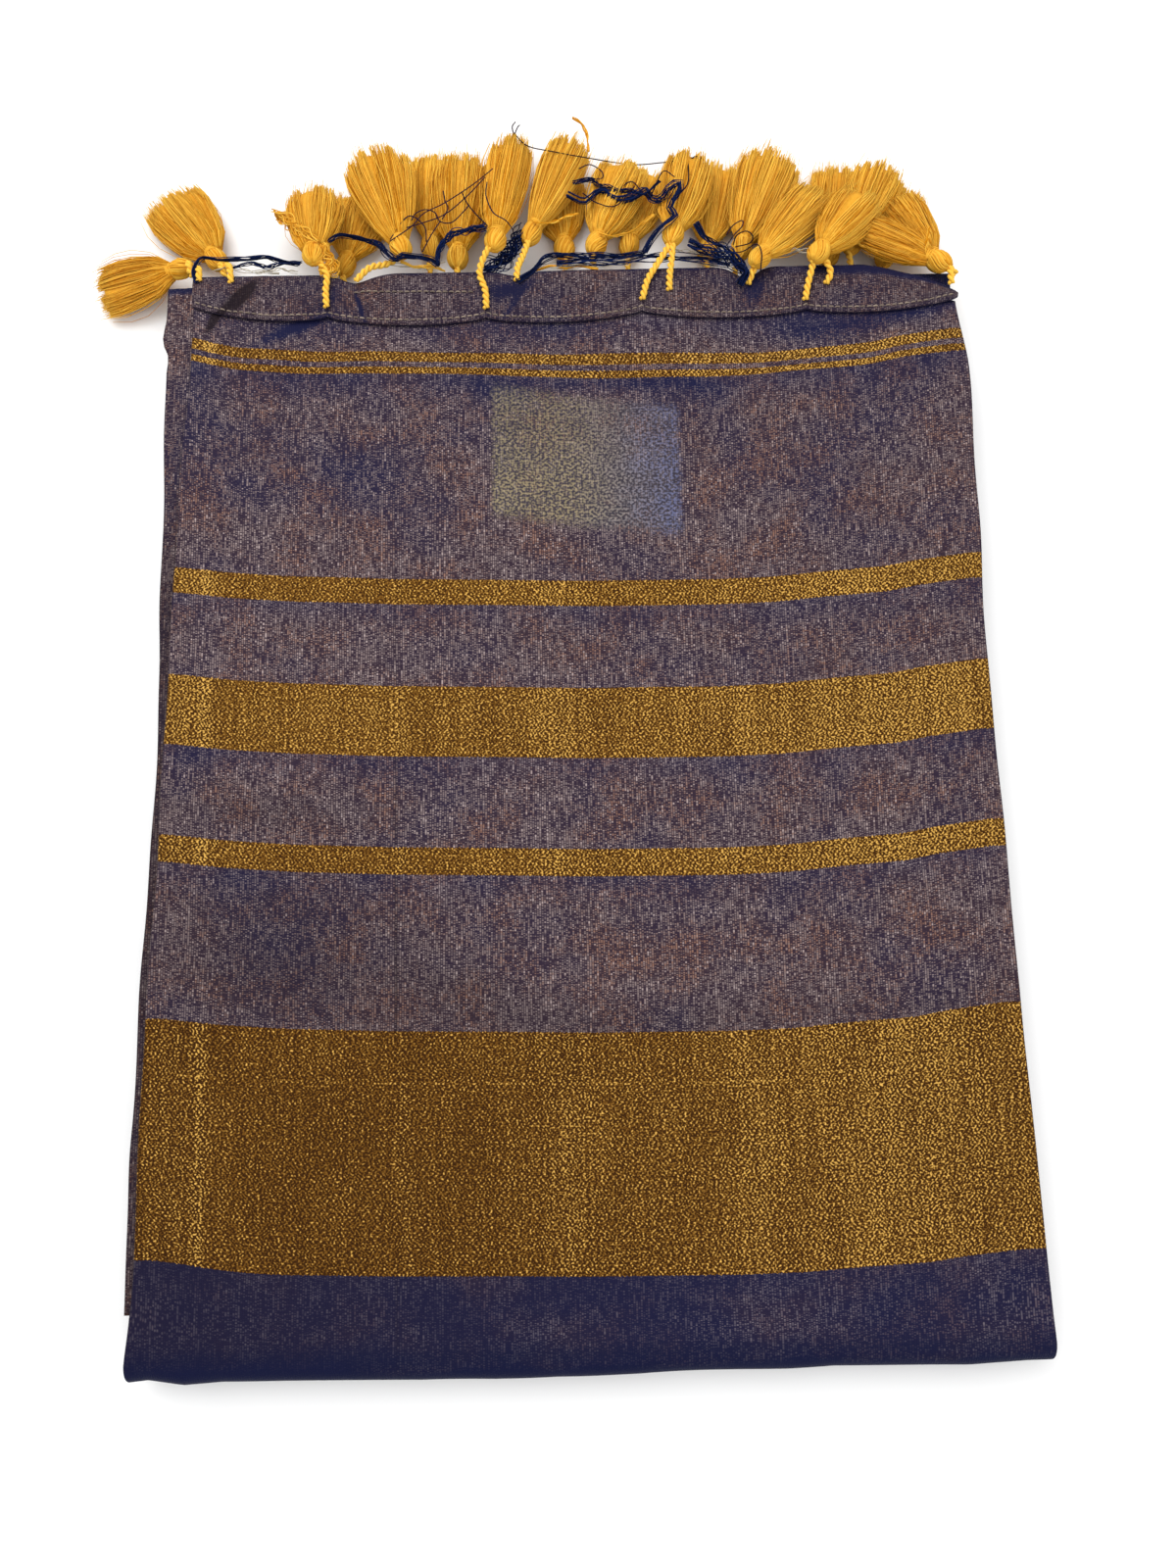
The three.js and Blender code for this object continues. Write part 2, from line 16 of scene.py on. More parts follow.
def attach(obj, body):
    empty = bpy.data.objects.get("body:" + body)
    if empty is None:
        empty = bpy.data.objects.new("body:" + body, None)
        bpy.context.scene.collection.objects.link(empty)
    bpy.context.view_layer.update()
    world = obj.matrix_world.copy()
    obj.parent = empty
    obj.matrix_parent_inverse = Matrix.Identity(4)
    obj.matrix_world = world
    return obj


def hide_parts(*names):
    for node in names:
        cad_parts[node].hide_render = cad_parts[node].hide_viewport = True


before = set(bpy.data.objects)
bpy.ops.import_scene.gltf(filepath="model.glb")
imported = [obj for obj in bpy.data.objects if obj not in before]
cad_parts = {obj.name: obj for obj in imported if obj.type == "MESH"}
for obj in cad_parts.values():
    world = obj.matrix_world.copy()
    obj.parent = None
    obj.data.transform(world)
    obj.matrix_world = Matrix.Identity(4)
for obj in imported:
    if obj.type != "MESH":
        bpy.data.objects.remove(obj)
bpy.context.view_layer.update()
MM = 0.001  # every size below is in millimetres, and make_piece turns them into metres

# %% [markdown]
# ## The camera
# The camera looks down on the pack from over its middle, tipped a little towards the tassels and turned
# a little on its own axis. A wide lens this near makes the front edge look wider than the back edge,
# which a longer lens from further away would lose.

# %% Place the camera
CAMERA_AT = (2.0, -66.0, 405.0)
CAMERA_TIP = math.radians(9.4)
CAMERA_TURN = math.radians(1.2)
SENSOR = 36.0
FOCAL_SHARE = 0.7513  # of the picture's long side

camera = bpy.data.objects.new("camera", bpy.data.cameras.new("camera"))
bpy.context.scene.collection.objects.link(camera)
camera.data.sensor_width = SENSOR
camera.data.lens = SENSOR * FOCAL_SHARE
camera.data.clip_start = 10 * MM
tipped = Matrix.Rotation(CAMERA_TIP, 4, "X")
turned = Matrix.Rotation(-CAMERA_TURN, 4, "Z")
camera.matrix_world = Matrix.Translation([MM * at for at in CAMERA_AT]) @ turned @ tipped
bpy.context.scene.camera = camera
print("camera:", round(camera.data.lens, 2), "mm lens at", CAMERA_AT)

# %% [markdown]
# ## Floor and light
# A sheet of white card and a bright room: most of the light comes evenly from the world, and one wide
# lamp beyond the tassels gives the yarns and the folds their form. A wide lamp keeps the shadows soft.

# %% Lay the floor and hang the lamps
FLOOR_HALF = 2500.0
WORLD_LIGHT = 0.66
LAMPS = (
    # name, place, size, watts
    ("window", (-450.0, 750.0, 1450.0), 1300.0, 19.0),
    ("fill", (600.0, -600.0, 1500.0), 1500.0, 9.0),
)

bpy.context.scene.view_settings.view_transform = "Standard"
world = bpy.data.worlds.new("bright room")
world.use_nodes = True
world.node_tree.nodes["Background"].inputs["Color"].default_value = (1.0, 1.0, 1.0, 1.0)
world.node_tree.nodes["Background"].inputs["Strength"].default_value = WORLD_LIGHT
bpy.context.scene.world = world

card = bpy.data.meshes.new("white_card")
corners = [(-1, -1), (1, -1), (1, 1), (-1, 1)]
card.from_pydata([(x * FLOOR_HALF * MM, y * FLOOR_HALF * MM, 0.0) for x, y in corners], [], [(0, 1, 2, 3)])
floor = bpy.data.objects.new("white_card", card)
bpy.context.scene.collection.objects.link(floor)
card_finish = bpy.data.materials.new("white card")
card_finish.use_nodes = True
card_finish.node_tree.nodes["Principled BSDF"].inputs["Base Color"].default_value = (0.93, 0.93, 0.93, 1.0)
card_finish.node_tree.nodes["Principled BSDF"].inputs["Roughness"].default_value = 0.9
card.materials.append(card_finish)

for name, place, size, watts in LAMPS:
    lamp = bpy.data.lights.new(name, "AREA")
    lamp.energy, lamp.size = watts, size * MM
    holder = bpy.data.objects.new(name, lamp)
    bpy.context.scene.collection.objects.link(holder)
    holder.location = [MM * at for at in place]
    holder.rotation_euler = holder.location.to_track_quat("Z", "Y").to_euler()
print("lamps:", [row[0] for row in LAMPS])

# %% [markdown]
# ## Reading the pack's sizes
# The outlines are short tables, the same ones that the solids were made from: where the side edges run,
# where the hem is held down, and where the cloth is creased. A table is read between its rows with an
# ease in and out, because cloth never turns a sharp corner in the flat.

# %% Tables of the cloth's outline
FRONT_EDGES = np.array([
    # y, left edge, right edge of the top ply
    (-184.0, -142.4, 143.6),
    (-150.0, -141.0, 142.9),
    (-76.0, -140.1, 140.4),
    (-19.0, -138.4, 139.6),
    (37.0, -136.8, 138.6),
    (97.0, -136.2, 139.3),
    (150.0, -133.2, 140.2),
    (184.0, -132.6, 137.2),
])
PACK_EDGES = np.array([
    # y, left edge, right edge of the plies below
    (-184.0, -143.8, 143.8),
    (-166.0, -144.4, 143.4),
    (-70.0, -143.5, 141.2),
    (21.0, -140.9, 139.6),
    (76.0, -141.8, 139.4),
    (184.0, -143.3, 137.8),
])
STACK_HEIGHT = 14.2
SECOND_PLY = {"base": 14.5, "wall": 1.7, "back": 182.4, "front": -166.6}
TOP_PLY = {"middle": 17.5, "half": 1.0}
NOSE = {"radius": 5.2, "centre": -178.3, "sweep": math.radians(150)}
EDGE_ROUND = 0.8  # how far a folded edge rounds out past the flat of its ply
EDGE_CREASE = {"depth": 0.14, "width": 0.2}
SPREAD = (0.9, 1.2)  # soft cloth spreads past the solids on the left and on the right
FRONT_BULGE = np.array([
    # x, how far the round front fold bulges forward there
    (-143.0, 2.3),
    (-137.0, 1.8),
    (-126.0, 3.3),
    (-114.0, 2.4),
    (-95.0, 2.6),
    (-52.0, 3.8),
    (-30.0, 3.5),
    (-10.0, 2.7),
    (15.0, 3.2),
    (40.0, 2.8),
    (62.0, 2.3),
    (76.0, 1.6),
    (98.0, 2.2),
    (118.0, 2.6),
    (136.0, 1.6),
    (144.0, 1.5),
])
FRONT_EARS = 0.3  # the ends of the front fold spread a little more than the plies behind them


def eased(at, places, values):
    """Reads a table between its rows, easing in and out of each."""
    at = np.clip(at, places[0], places[-1])
    after = np.clip(np.searchsorted(places, at), 1, len(places) - 1)
    share = (at - places[after - 1]) / (places[after] - places[after - 1])
    share = share * share * (3 - 2 * share)
    return values[after - 1] + share * (values[after] - values[after - 1])


def step(at, start, end):
    """0 before start, 1 after end, and eased between them."""
    share = np.clip((at - start) / (end - start), 0, 1)
    return share * share * (3 - 2 * share)


print("top ply:", round(float(np.ptp(FRONT_EDGES[0, 1:])), 1), "mm wide at the front fold")

# %% [markdown]
# ## Making a mesh
# Every piece is made from rows of points. Numpy works the points out in one go, and one helper turns them
# into a mesh in metres. It can also carry two things that the finishes read: a flat map, which says
# where each point lies on the cloth as woven, in millimetres, and a shade for each point: the shade of
# each strand of yarn, and on the cloth the painted shade in the grooves of its folded edges.

# %% Mesh helpers
FLAT_MAP = "flat_cloth"
SHADE = "yarn_shade"


def make_piece(name, points, faces, finish, flat=None, shade=None):
    """A smooth-shaded mesh object from points in millimetres."""
    mesh = bpy.data.meshes.new(name)
    mesh.from_pydata(np.asarray(points, float).reshape(-1, 3) * MM, [], faces)
    mesh.shade_smooth()
    if flat is not None:
        layer = mesh.uv_layers.new(name=FLAT_MAP)
        corner_points = np.zeros(len(mesh.loops), int)
        mesh.loops.foreach_get("vertex_index", corner_points)
        layer.uv.foreach_set("vector", np.asarray(flat, np.float32).reshape(-1, 2)[corner_points].ravel())
    if shade is not None:
        layer = mesh.attributes.new(SHADE, "FLOAT", "POINT")
        layer.data.foreach_set("value", np.asarray(shade, np.float32).ravel())
    mesh.materials.append(finish)
    piece = bpy.data.objects.new(name, mesh)
    bpy.context.scene.collection.objects.link(piece)
    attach(piece, "root")
    print(f"{name}: {len(mesh.loops) - 2 * len(mesh.polygons)} triangles")
    return piece


def smooth_route(points, count):
    """Points along a smooth curve through the given ones, as many as asked for."""
    points = np.asarray(points, float)
    ends = np.concatenate([[2 * points[0] - points[1]], points, [2 * points[-1] - points[-2]]])
    lengths = np.concatenate([[0.0], np.cumsum(np.linalg.norm(np.diff(points, axis=0), axis=1))])
    at = np.interp(np.linspace(0, lengths[-1], count), lengths, np.arange(len(points)))
    index = np.minimum(at.astype(int), len(points) - 2)
    t = (at - index)[:, None]
    a, b, c, d = (ends[index + n] for n in range(4))
    return 0.5 * (2 * b + (c - a) * t + (2 * a - 5 * b + 4 * c - d) * t**2 + (3 * b - a - 3 * c + d) * t**3)


def unit(vectors):
    return vectors / np.maximum(np.linalg.norm(vectors, axis=-1, keepdims=True), 1e-9)


def tube_faces(rings, sides):
    """The quads that join rings of points into a tube, open at both ends."""
    ring, side = np.meshgrid(np.arange(rings - 1), np.arange(sides), indexing="ij")
    here, after = ring * sides + side, ring * sides + (side + 1) % sides
    return np.stack([here, after, after + sides, here + sides], -1).reshape(-1, 4)


def closed_tube_faces(rings, sides):
    """The same with a cap at both ends, for rings that run the other way round."""
    faces = tube_faces(rings, sides)[:, ::-1].tolist()
    last = (rings - 1) * sides
    return [*faces, list(range(sides)), list(range(last, last + sides))[::-1]]


def flattened_tube(rings):
    """Faces for a shell whose ring runs out along one face of the cloth and back along the other."""
    count, around = rings.shape[:2]
    faces = tube_faces(count, around).tolist()
    half = around // 2
    last = (count - 1) * around
    for n in range(half - 1):
        faces.append((n + 1, n, around - 1 - n, around - 2 - n))
        faces.append((last + n, last + n + 1, last + around - 2 - n, last + around - 1 - n))
    return faces


# %% [markdown]
# ## Writing a finish
# A finish is a small sum worked out at every point of the cloth. Nodes do the sums, and a thin wrapper lets
# them be written like any other sum, which keeps the weave readable.

# %% Short calls for shader nodes
def colour(red, green, blue):
    return (red, green, blue, 1.0)


class Value:
    """What a shader node gives out. Sums with it are written as sums, and each makes one more node."""

    def __init__(self, finish, socket):
        self.finish, self.socket = finish, socket

    def __add__(self, other):
        return self.finish.work("ADD", self, other)

    def __sub__(self, other):
        return self.finish.work("SUBTRACT", self, other)

    def __rsub__(self, other):
        return self.finish.work("SUBTRACT", other, self)

    def __mul__(self, other):
        return self.finish.work("MULTIPLY", self, other)

    def __truediv__(self, other):
        return self.finish.work("DIVIDE", self, other)

    def __abs__(self):
        return self.finish.work("ABSOLUTE", self)

    __radd__, __rmul__ = __add__, __mul__


class Finish:
    """One material, with short calls for the nodes it is made of."""

    def __init__(self, name):
        self.material = bpy.data.materials.new(name)
        self.material.use_nodes = True
        self.tree = self.material.node_tree
        self.shader = self.tree.nodes["Principled BSDF"]

    def put(self, value, socket):
        if isinstance(value, Value):
            self.tree.links.new(value.socket, socket)
        elif value is not None:
            socket.default_value = value

    def node(self, kind, values=(), out=0, **settings):
        """One output of a new node, whose first inputs are filled in order."""
        made = self.tree.nodes.new(kind)
        for setting, value in settings.items():
            setattr(made, setting, value)
        for n, value in enumerate(values):
            self.put(value, made.inputs[n])
        return Value(self, made.outputs[out])

    def work(self, operation, *values):
        return self.node("ShaderNodeMath", values, operation=operation)

    def ramp(self, value, low, high, start=0.0, end=1.0):
        """start below low, end above high, eased between them."""
        values = (value, low, high, start, end)
        return self.node("ShaderNodeMapRange", values, interpolation_type="SMOOTHSTEP")

    def blend(self, share, first, second):
        """A mix of two numbers."""
        return self.node("ShaderNodeMix", (share, None, first, second))

    def mix(self, share, first, second):
        """A mix of two colours."""
        values = (share, None, None, None, None, None, first, second)
        return self.node("ShaderNodeMix", values, out=2, data_type="RGBA")

    def noise(self, along_u, along_v, seed=0.0, detail=0.0):
        """Noise with a grain of about one unit, in coordinates stretched by the caller."""
        place = self.node("ShaderNodeCombineXYZ", (along_u, along_v, seed))
        return self.node("ShaderNodeTexNoise", (place, None, 1.0, detail))

    def shade(self):
        """The shade that each point of the mesh carries."""
        return self.node("ShaderNodeAttribute", out=2, attribute_name=SHADE)

    def flat_place(self):
        """The two flat-cloth coordinates, in millimetres: across the cloth and along it."""
        where = self.node("ShaderNodeUVMap", uv_map=FLAT_MAP)
        return [self.node("ShaderNodeSeparateXYZ", (where,), out=n) for n in (0, 1)]

    def bump(self, height, strength, depth):
        made = self.tree.nodes.new("ShaderNodeBump")
        made.inputs["Strength"].default_value = strength
        made.inputs["Distance"].default_value = depth * MM
        self.put(height, made.inputs["Height"])
        self.tree.links.new(made.outputs[0], self.shader.inputs["Normal"])

    def surface(self, **inputs):
        for name, value in inputs.items():
            self.put(value, self.shader.inputs[name.replace("_", " ").title().replace("Ior", "IOR")])
        return self.material


# %% Colours of the threads, as linear light
NAVY = colour(0.0085, 0.0092, 0.040)
NOSE_SHADE_NAVY = colour(0.0035, 0.006, 0.030)
PLUM = colour(0.034, 0.019, 0.029)
GLINT = colour(0.200, 0.152, 0.150)
WARM_GLINT = colour(0.240, 0.125, 0.088)
COOL_GLINT = colour(0.090, 0.098, 0.165)
DEEP_SHADE = colour(0.012, 0.007, 0.010)
SPARK = colour(0.42, 0.34, 0.33)
SHOWN_LEFT = colour(0.330, 0.270, 0.150)
SHOWN_RIGHT = colour(0.150, 0.165, 0.300)
SHOWN_GAP = colour(0.040, 0.038, 0.050)
GOLD_GAP = colour(0.042, 0.015, 0.003)
GOLD = colour(0.160, 0.069, 0.009)
GOLD_SPARK = colour(0.70, 0.415, 0.095)

CLOTH_GLOSS = 0.06
METAL_SHARE = 0.4  # how much of a metal thread's light is a mirror's
WEAVE_BUMP = (0.5, 0.3)  # strength, and depth in millimetres
RIM_SHADE = 0.72  # how much painted shade darkens the cloth in the groove of a folded edge
WARP_PITCH = 0.76
WEFT_PITCH = 0.7
FLECK_LENGTHS = (0.43, 4.5)  # glints along a warp thread come in short flecks and in longer runs
BEAD = {"across": 1.45, "along": 0.95}
HALF_TURN = math.pi
FULL_TURN = 2 * math.pi


# %% [markdown]
# ## The tissue weave
# Tissue cloth has a dark silk or cotton warp and a metallic weft. Seen close it is fine dark lines along
# the cloth with bright glints of metal between them, and where the light misses the metal only the navy
# warp is left. The pattern is worked out from the flat map, so it bends wherever the cloth bends, and its
# flecks have the size of real threads.

# %% The plain tissue weave
SHEEN_LOST = (
    # painted sheen loss, where the cloth turns from the light and loses its sheen:
    # x, y, turn, half length, half width, how much
    (-90.0, 118.0, 0.0, 62.0, 28.0, 0.28),
    (96.0, 112.0, 0.0, 56.0, 26.0, 0.16),
    (-98.0, -55.0, 0.0, 52.0, 24.0, 0.14),
    (-97.0, 160.6, 27.0, 13.0, 1.9, 0.95),
    (-74.2, 174.0, -77.0, 8.5, 0.9, 0.95),
    (-84.0, 176.0, 60.0, 7.0, 2.2, 0.5),
    (-20.0, 172.0, 60.0, 8.0, 1.2, 0.5),
    (-21.0, 178.6, 16.0, 9.0, 3.0, 0.8),
    (66.0, 178.0, 80.0, 7.0, 3.6, 0.7),
    (112.0, 160.0, 8.0, 34.0, 5.0, 0.55),
    (24.0, 141.0, 0.0, 40.0, 3.6, 0.35),
    (-88.0, -168.0, 0.0, 40.0, 10.0, 0.18),
)
SHADED = (
    # painted shade, in the same columns: where a crease is deep enough to lie in shadow, and broader patches
    # that lie in shade
    (-115.8, 175.6, 58.0, 6.4, 2.3, 3.0),
    (-125.0, 162.6, 64.0, 6.2, 1.1, 3.0),
    (-60.2, -60.0, 90.5, 120.0, 0.6, 0.34),
    (-98.0, -55.0, 0.0, 50.0, 22.0, 0.28),
    (-36.0, -70.0, -8.0, 24.0, 7.0, 0.22),
    (10.0, -80.5, 0.0, 150.0, 6.5, 0.24),
    (-92.0, -69.0, 0.0, 40.0, 9.0, 0.16),
    (-104.0, -14.0, 0.0, 34.0, 7.0, 0.22),
)


def along_creases(f, u, v, rows):
    """How much of a table of creases reaches a point of the cloth."""
    total = 0.0
    for x, y, turn, long, wide, share in rows:
        cos, sin = math.cos(math.radians(turn)), math.sin(math.radians(turn))
        away_u, away_v = u - x, v - y
        lengthwise = away_u * (cos / long) + away_v * (sin / long)
        crosswise = away_v * (cos / wide) - away_u * (sin / wide)
        reach = lengthwise * lengthwise + crosswise * crosswise
        total = total + f.work("POWER", 2.0, reach * -1.4) * share
    return f.work("MINIMUM", total, 0.9)


def tissue(f, u, v, navy, tone=1.0, rim=0.0):
    """The colour, metal share and height of plain tissue.

    navy is how much of the metal's sheen is lost, tone how much of all the light is left, and rim is 1
    in the groove of a folded edge, where shade is painted in.
    """
    wander = f.noise(u * 0.10, v * 0.03, 3.0)
    place = wander * 1.6 + u / WARP_PITCH
    column = f.work("FLOOR", place)
    ridge = f.work("SINE", f.work("FRACT", place) * HALF_TURN)
    short, long = FLECK_LENGTHS
    fleck = f.noise(column * 5.37, v / short, 5.0)
    longer = f.noise(column * 3.11, v / long, 9.0)
    cell = f.node("ShaderNodeCombineXYZ", (column, f.work("FLOOR", v / WEFT_PITCH), 0.0))
    luck = f.node("ShaderNodeTexWhiteNoise", (cell,), noise_dimensions="2D")
    # Whole patches of the cloth catch more or less light, and bloom warmer or cooler.
    patch = f.noise(u * 0.026, v * 0.034, 11.0, 3.0)
    bloom = f.noise(u * 0.05, v * 0.06, 17.0, 2.0)
    lost = f.work("MINIMUM", along_creases(f, u, v, SHEEN_LOST) + navy, 1.1)
    sheen = f.ramp(patch, 0.36, 0.64, 0.74, 1.02) - lost
    ground = f.mix(f.ramp(bloom * 0.7 + sheen, 0.45, 1.45), NAVY, PLUM)
    level = longer * 0.50 + sheen * 0.10 + fleck
    lit = f.ramp(level, 0.735, 0.985) * f.ramp(ridge, 0.05, 0.85) * f.ramp(sheen, -0.25, 0.95, 0.02, 1.0)
    metal = f.mix(f.ramp(luck * 0.30 + bloom, 0.56, 0.90), GLINT, WARM_GLINT)
    metal = f.mix(f.ramp(luck, 0.80, 0.96, 0.0, 0.8), metal, SPARK)
    # Painted light and shade: where the sheen is lost the glints left are painted cool, and the cloth is
    # painted towards deep shade in shaded creases, by the tone and in the grooves of folded edges.
    cloth = f.mix(lit, ground, f.mix(navy * 0.9, metal, COOL_GLINT))
    left = (1.0 - along_creases(f, u, v, SHADED)) * tone * (1.0 - rim * RIM_SHADE)
    return f.mix(1.0 - left, cloth, DEEP_SHADE), lit, fleck * 0.8 + ridge * 0.5


# %% [markdown]
# ## The gold stripes
# In the stripes a flat metal thread floats over the warp in small bright beads, set like bricks. The beads
# wander, because the warp does, and the light lies on them in patches and streaks.

# %% The woven gold stripes
STRIPES = (
    # lowest and highest line of each stripe along the cloth, at its middle
    (147.9, 151.8),
    (143.2, 145.8),
    (59.3, 68.3),
    (6.5, 30.6),
    (-33.0, -24.0),
    (-157.6, -83.2),
)
BRIGHT_PICK = -99.2  # one thread of brighter metal across the widest stripe
STREAK_SHARE = 0.36
SHEEN_STREAKS = (
    # where a vertical streak of light lies on the metal, its half width and its strength
    (-124.5, 1.8, 0.34),
    (-133.0, 9.0, 0.16),
    (-59.5, 2.0, 0.16),
    (-8.0, 6.0, 0.12),
    (-2.0, 26.0, 0.10),
    (50.0, 7.0, 0.10),
    (104.0, 46.0, 0.28),
)


def striped(f, u, v):
    """How much of a point lies in a gold stripe, 0 or 1, with an edge as ragged as the beads."""
    edge = f.noise(u / 0.7, 0.0, 31.0) * 0.9 + v - 0.45
    total = 0.0
    for low, high in STRIPES:
        away, half = abs(edge - (low + high) / 2), (high - low) / 2
        total = total + f.ramp(away, half - 0.1, half + 0.1, 1.0, 0.0)
    return total


def beaded_gold(f, u, v):
    """Metal thread floating over the warp in beads that are set like bricks, in wandering columns."""
    wander = f.noise(u * 0.12, v * 0.22, 41.0, 1.0)
    turn = wander * 22.0 + u * (FULL_TURN / BEAD["across"])
    bead = f.work("SINE", v * (HALF_TURN / BEAD["along"])) * f.work("SINE", turn)
    fine = f.noise(u / 0.60, v / 0.56, 43.0)
    coarse = f.noise(u / 0.95, v / 1.25, 44.0)
    # The light on the metal is uneven: in slow patches, in fine streaks and across the widest stripe.
    slow = f.noise(u * 0.05, v * 0.02, 47.0, 3.0)
    streaky = f.noise(u * 0.75, v * 0.03, 53.0, 1.0)
    sheen = f.ramp(slow, 0.35, 0.65, -0.012, 0.022) + f.ramp(streaky, 0.3, 0.7, -0.04, 0.04)
    widest = f.ramp(u, -70.0, 70.0, -0.072, -0.020)
    sheen = sheen + f.ramp(v, -60.0, -25.0, widest, 0.02)
    streaks = 0.0
    for centre, half, strength in SHEEN_STREAKS:
        away = (v * 0.02 + u - centre) / half
        streaks = streaks + f.work("POWER", 2.0, away * away * -1.0) * (strength * STREAK_SHARE)
    patchy = f.ramp(f.noise(u * 0.06, 0.0, 59.0), 0.4, 0.6, 0.0, 0.10)
    on_pick = f.ramp(abs(v - BRIGHT_PICK), 0.15, 0.6, 1.0, 0.0)
    level = bead * 0.19 + coarse * 0.42 + fine + sheen + on_pick * patchy
    body = f.mix(f.ramp(level, 0.54, 0.78), GOLD_GAP, GOLD)
    return f.mix(f.ramp(level + streaks, 0.805, 1.13), body, GOLD_SPARK), bead


# %% [markdown]
# ## The finishes of the plies
# The top ply has both weaves. It loses its sheen below each stripe, under the hem and round the front fold,
# where the cloth turns from the light. Near the hem something pale lies under it and shows through softly.
# The plies below have the plain weave alone, with painted shade in the grooves between their edges.

# %% The finishes of the plies
BELOW_STRIPES = (
    # lower line of a stripe, how far below it the cloth keeps less of its sheen, and how much it loses
    (143.2, 16.0, 0.28),
    (59.3, 11.0, 0.20),
    (6.5, 13.0, 0.24),
    (-33.0, 12.0, 0.20),
)
SHOWN_AT = {"middle": (5.0, 112.5), "half": (31.0, 20.5), "soft": (3.0, 6.0), "slant": 0.11}
PAST_STRIPES = (-157.4, -156.0)  # where the last stripe ends and the plain front starts


def shown_through(f, u, v):
    """The pale rectangle where something paler lies under the cloth: its share and its colour."""
    blur = (f.noise(u * 0.35, v * 0.35, 67.0, 2.0) - 0.5) * 4.0
    share = f.ramp(v, 96.0, 134.0, 0.70, 0.48)
    slanted = u * SHOWN_AT["slant"] + v
    for at, middle, half, soft in zip((u, slanted), SHOWN_AT["middle"], SHOWN_AT["half"], SHOWN_AT["soft"]):
        share = share * f.ramp(abs(at - middle) + blur, half, half + soft, 1.0, 0.0)
    grain = f.noise(u / 0.95, v / 0.8, 71.0)
    cloudy = f.noise(u * 0.10, v * 0.14, 73.0, 2.0)
    hue = f.mix(f.ramp(cloudy * 16.0 + u, 4.0, 48.0), SHOWN_LEFT, SHOWN_RIGHT)
    return share, f.mix(f.ramp(cloudy * 0.20 + grain, 0.46, 0.82), SHOWN_GAP, hue)


def top_ply_finish():
    f = Finish("tissue with gold stripes")
    u, v = f.flat_place()
    rim = f.shade()
    edge = f.noise(u * 0.03, v * 0.03, 61.0, 2.0) * 9.0 + v - 4.5
    # Painted sheen loss: on the plain front, round the front fold, under the hem and below each stripe, where
    # the cloth turns from the light.
    front = f.ramp(v, *PAST_STRIPES, 1.0, 0.0)
    lost = front * f.ramp(u, -60.0, 120.0, 0.62, 0.50)
    lost = lost + f.ramp(edge, -187.0, -182.0, 0.9, 0.0)
    lost = lost + f.ramp(edge, 152.0, 163.0) * f.ramp(u, -120.0, 130.0, 0.20, 0.36)
    for low, depth, amount in BELOW_STRIPES:
        lost = lost + f.ramp(edge, low - depth, low) * f.ramp(edge, low, low + 3.0, amount, 0.0)
    greyed = front * f.ramp(edge, -186.0, -180.0) * f.ramp(u, -140.0, 60.0, -0.40, -0.12)
    cloth, metal, height = tissue(f, u, v, lost, greyed + 1.0, rim)
    # Painted shade: the round of the front fold turns from the light, so it is painted a deeper navy.
    cloth = f.mix(f.ramp(v, -181.0, -174.0, 0.6, 0.0), cloth, NOSE_SHADE_NAVY)
    shown, hue = shown_through(f, u, v)
    gold, bead = beaded_gold(f, u, v)
    # Painted shade in the groove of the folded edge, over the gold as well.
    gold = f.mix(rim * RIM_SHADE, gold, DEEP_SHADE)
    stripe = striped(f, u, v)
    f.bump(f.blend(stripe, height, bead), *WEAVE_BUMP)
    return f.surface(
        base_color=f.mix(stripe, f.mix(shown, cloth, hue), gold),
        metallic=f.blend(stripe, metal * METAL_SHARE, METAL_SHARE),
        roughness=0.6,
        specular_ior_level=CLOTH_GLOSS,
    )


def plain_finish(name, navy, tone=1.0, crest=None, front_tone=None):
    """crest is the line where the cloth turns from the light, front_tone the light left at the front."""
    f = Finish(name)
    u, v = f.flat_place()
    if crest is not None:
        line = f.noise(u * 0.06, v * 0.06, 83.0, 2.0) * 4.0 + v - 2.0
        right = f.ramp(line, crest - 5.5, crest - 2.0) * f.ramp(u, 60.0, 100.0)
        over = f.work("MAXIMUM", right, f.ramp(line, crest - 1.5, crest + 1.5))
        navy = over * 0.8 + navy
    if front_tone is not None:
        tone = f.ramp(v, 50.0, 130.0, front_tone, tone)
    cloth, metal, height = tissue(f, u, v, navy, tone, f.shade())
    f.bump(height, *WEAVE_BUMP)
    return f.surface(
        base_color=cloth,
        metallic=metal * METAL_SHARE,
        roughness=0.65,
        specular_ior_level=CLOTH_GLOSS,
    )


striped_tissue = top_ply_finish()
plain_tissue = plain_finish("plain tissue", 0.0, 1.0, crest=179.5, front_tone=0.5)
hem_tissue = plain_finish("hem tissue", 0.10, 0.82, crest=185.5)
edge_tissue = plain_finish("folded edges", 0.45, 0.8)
print("cloth finishes:", [m.name for m in bpy.data.materials])
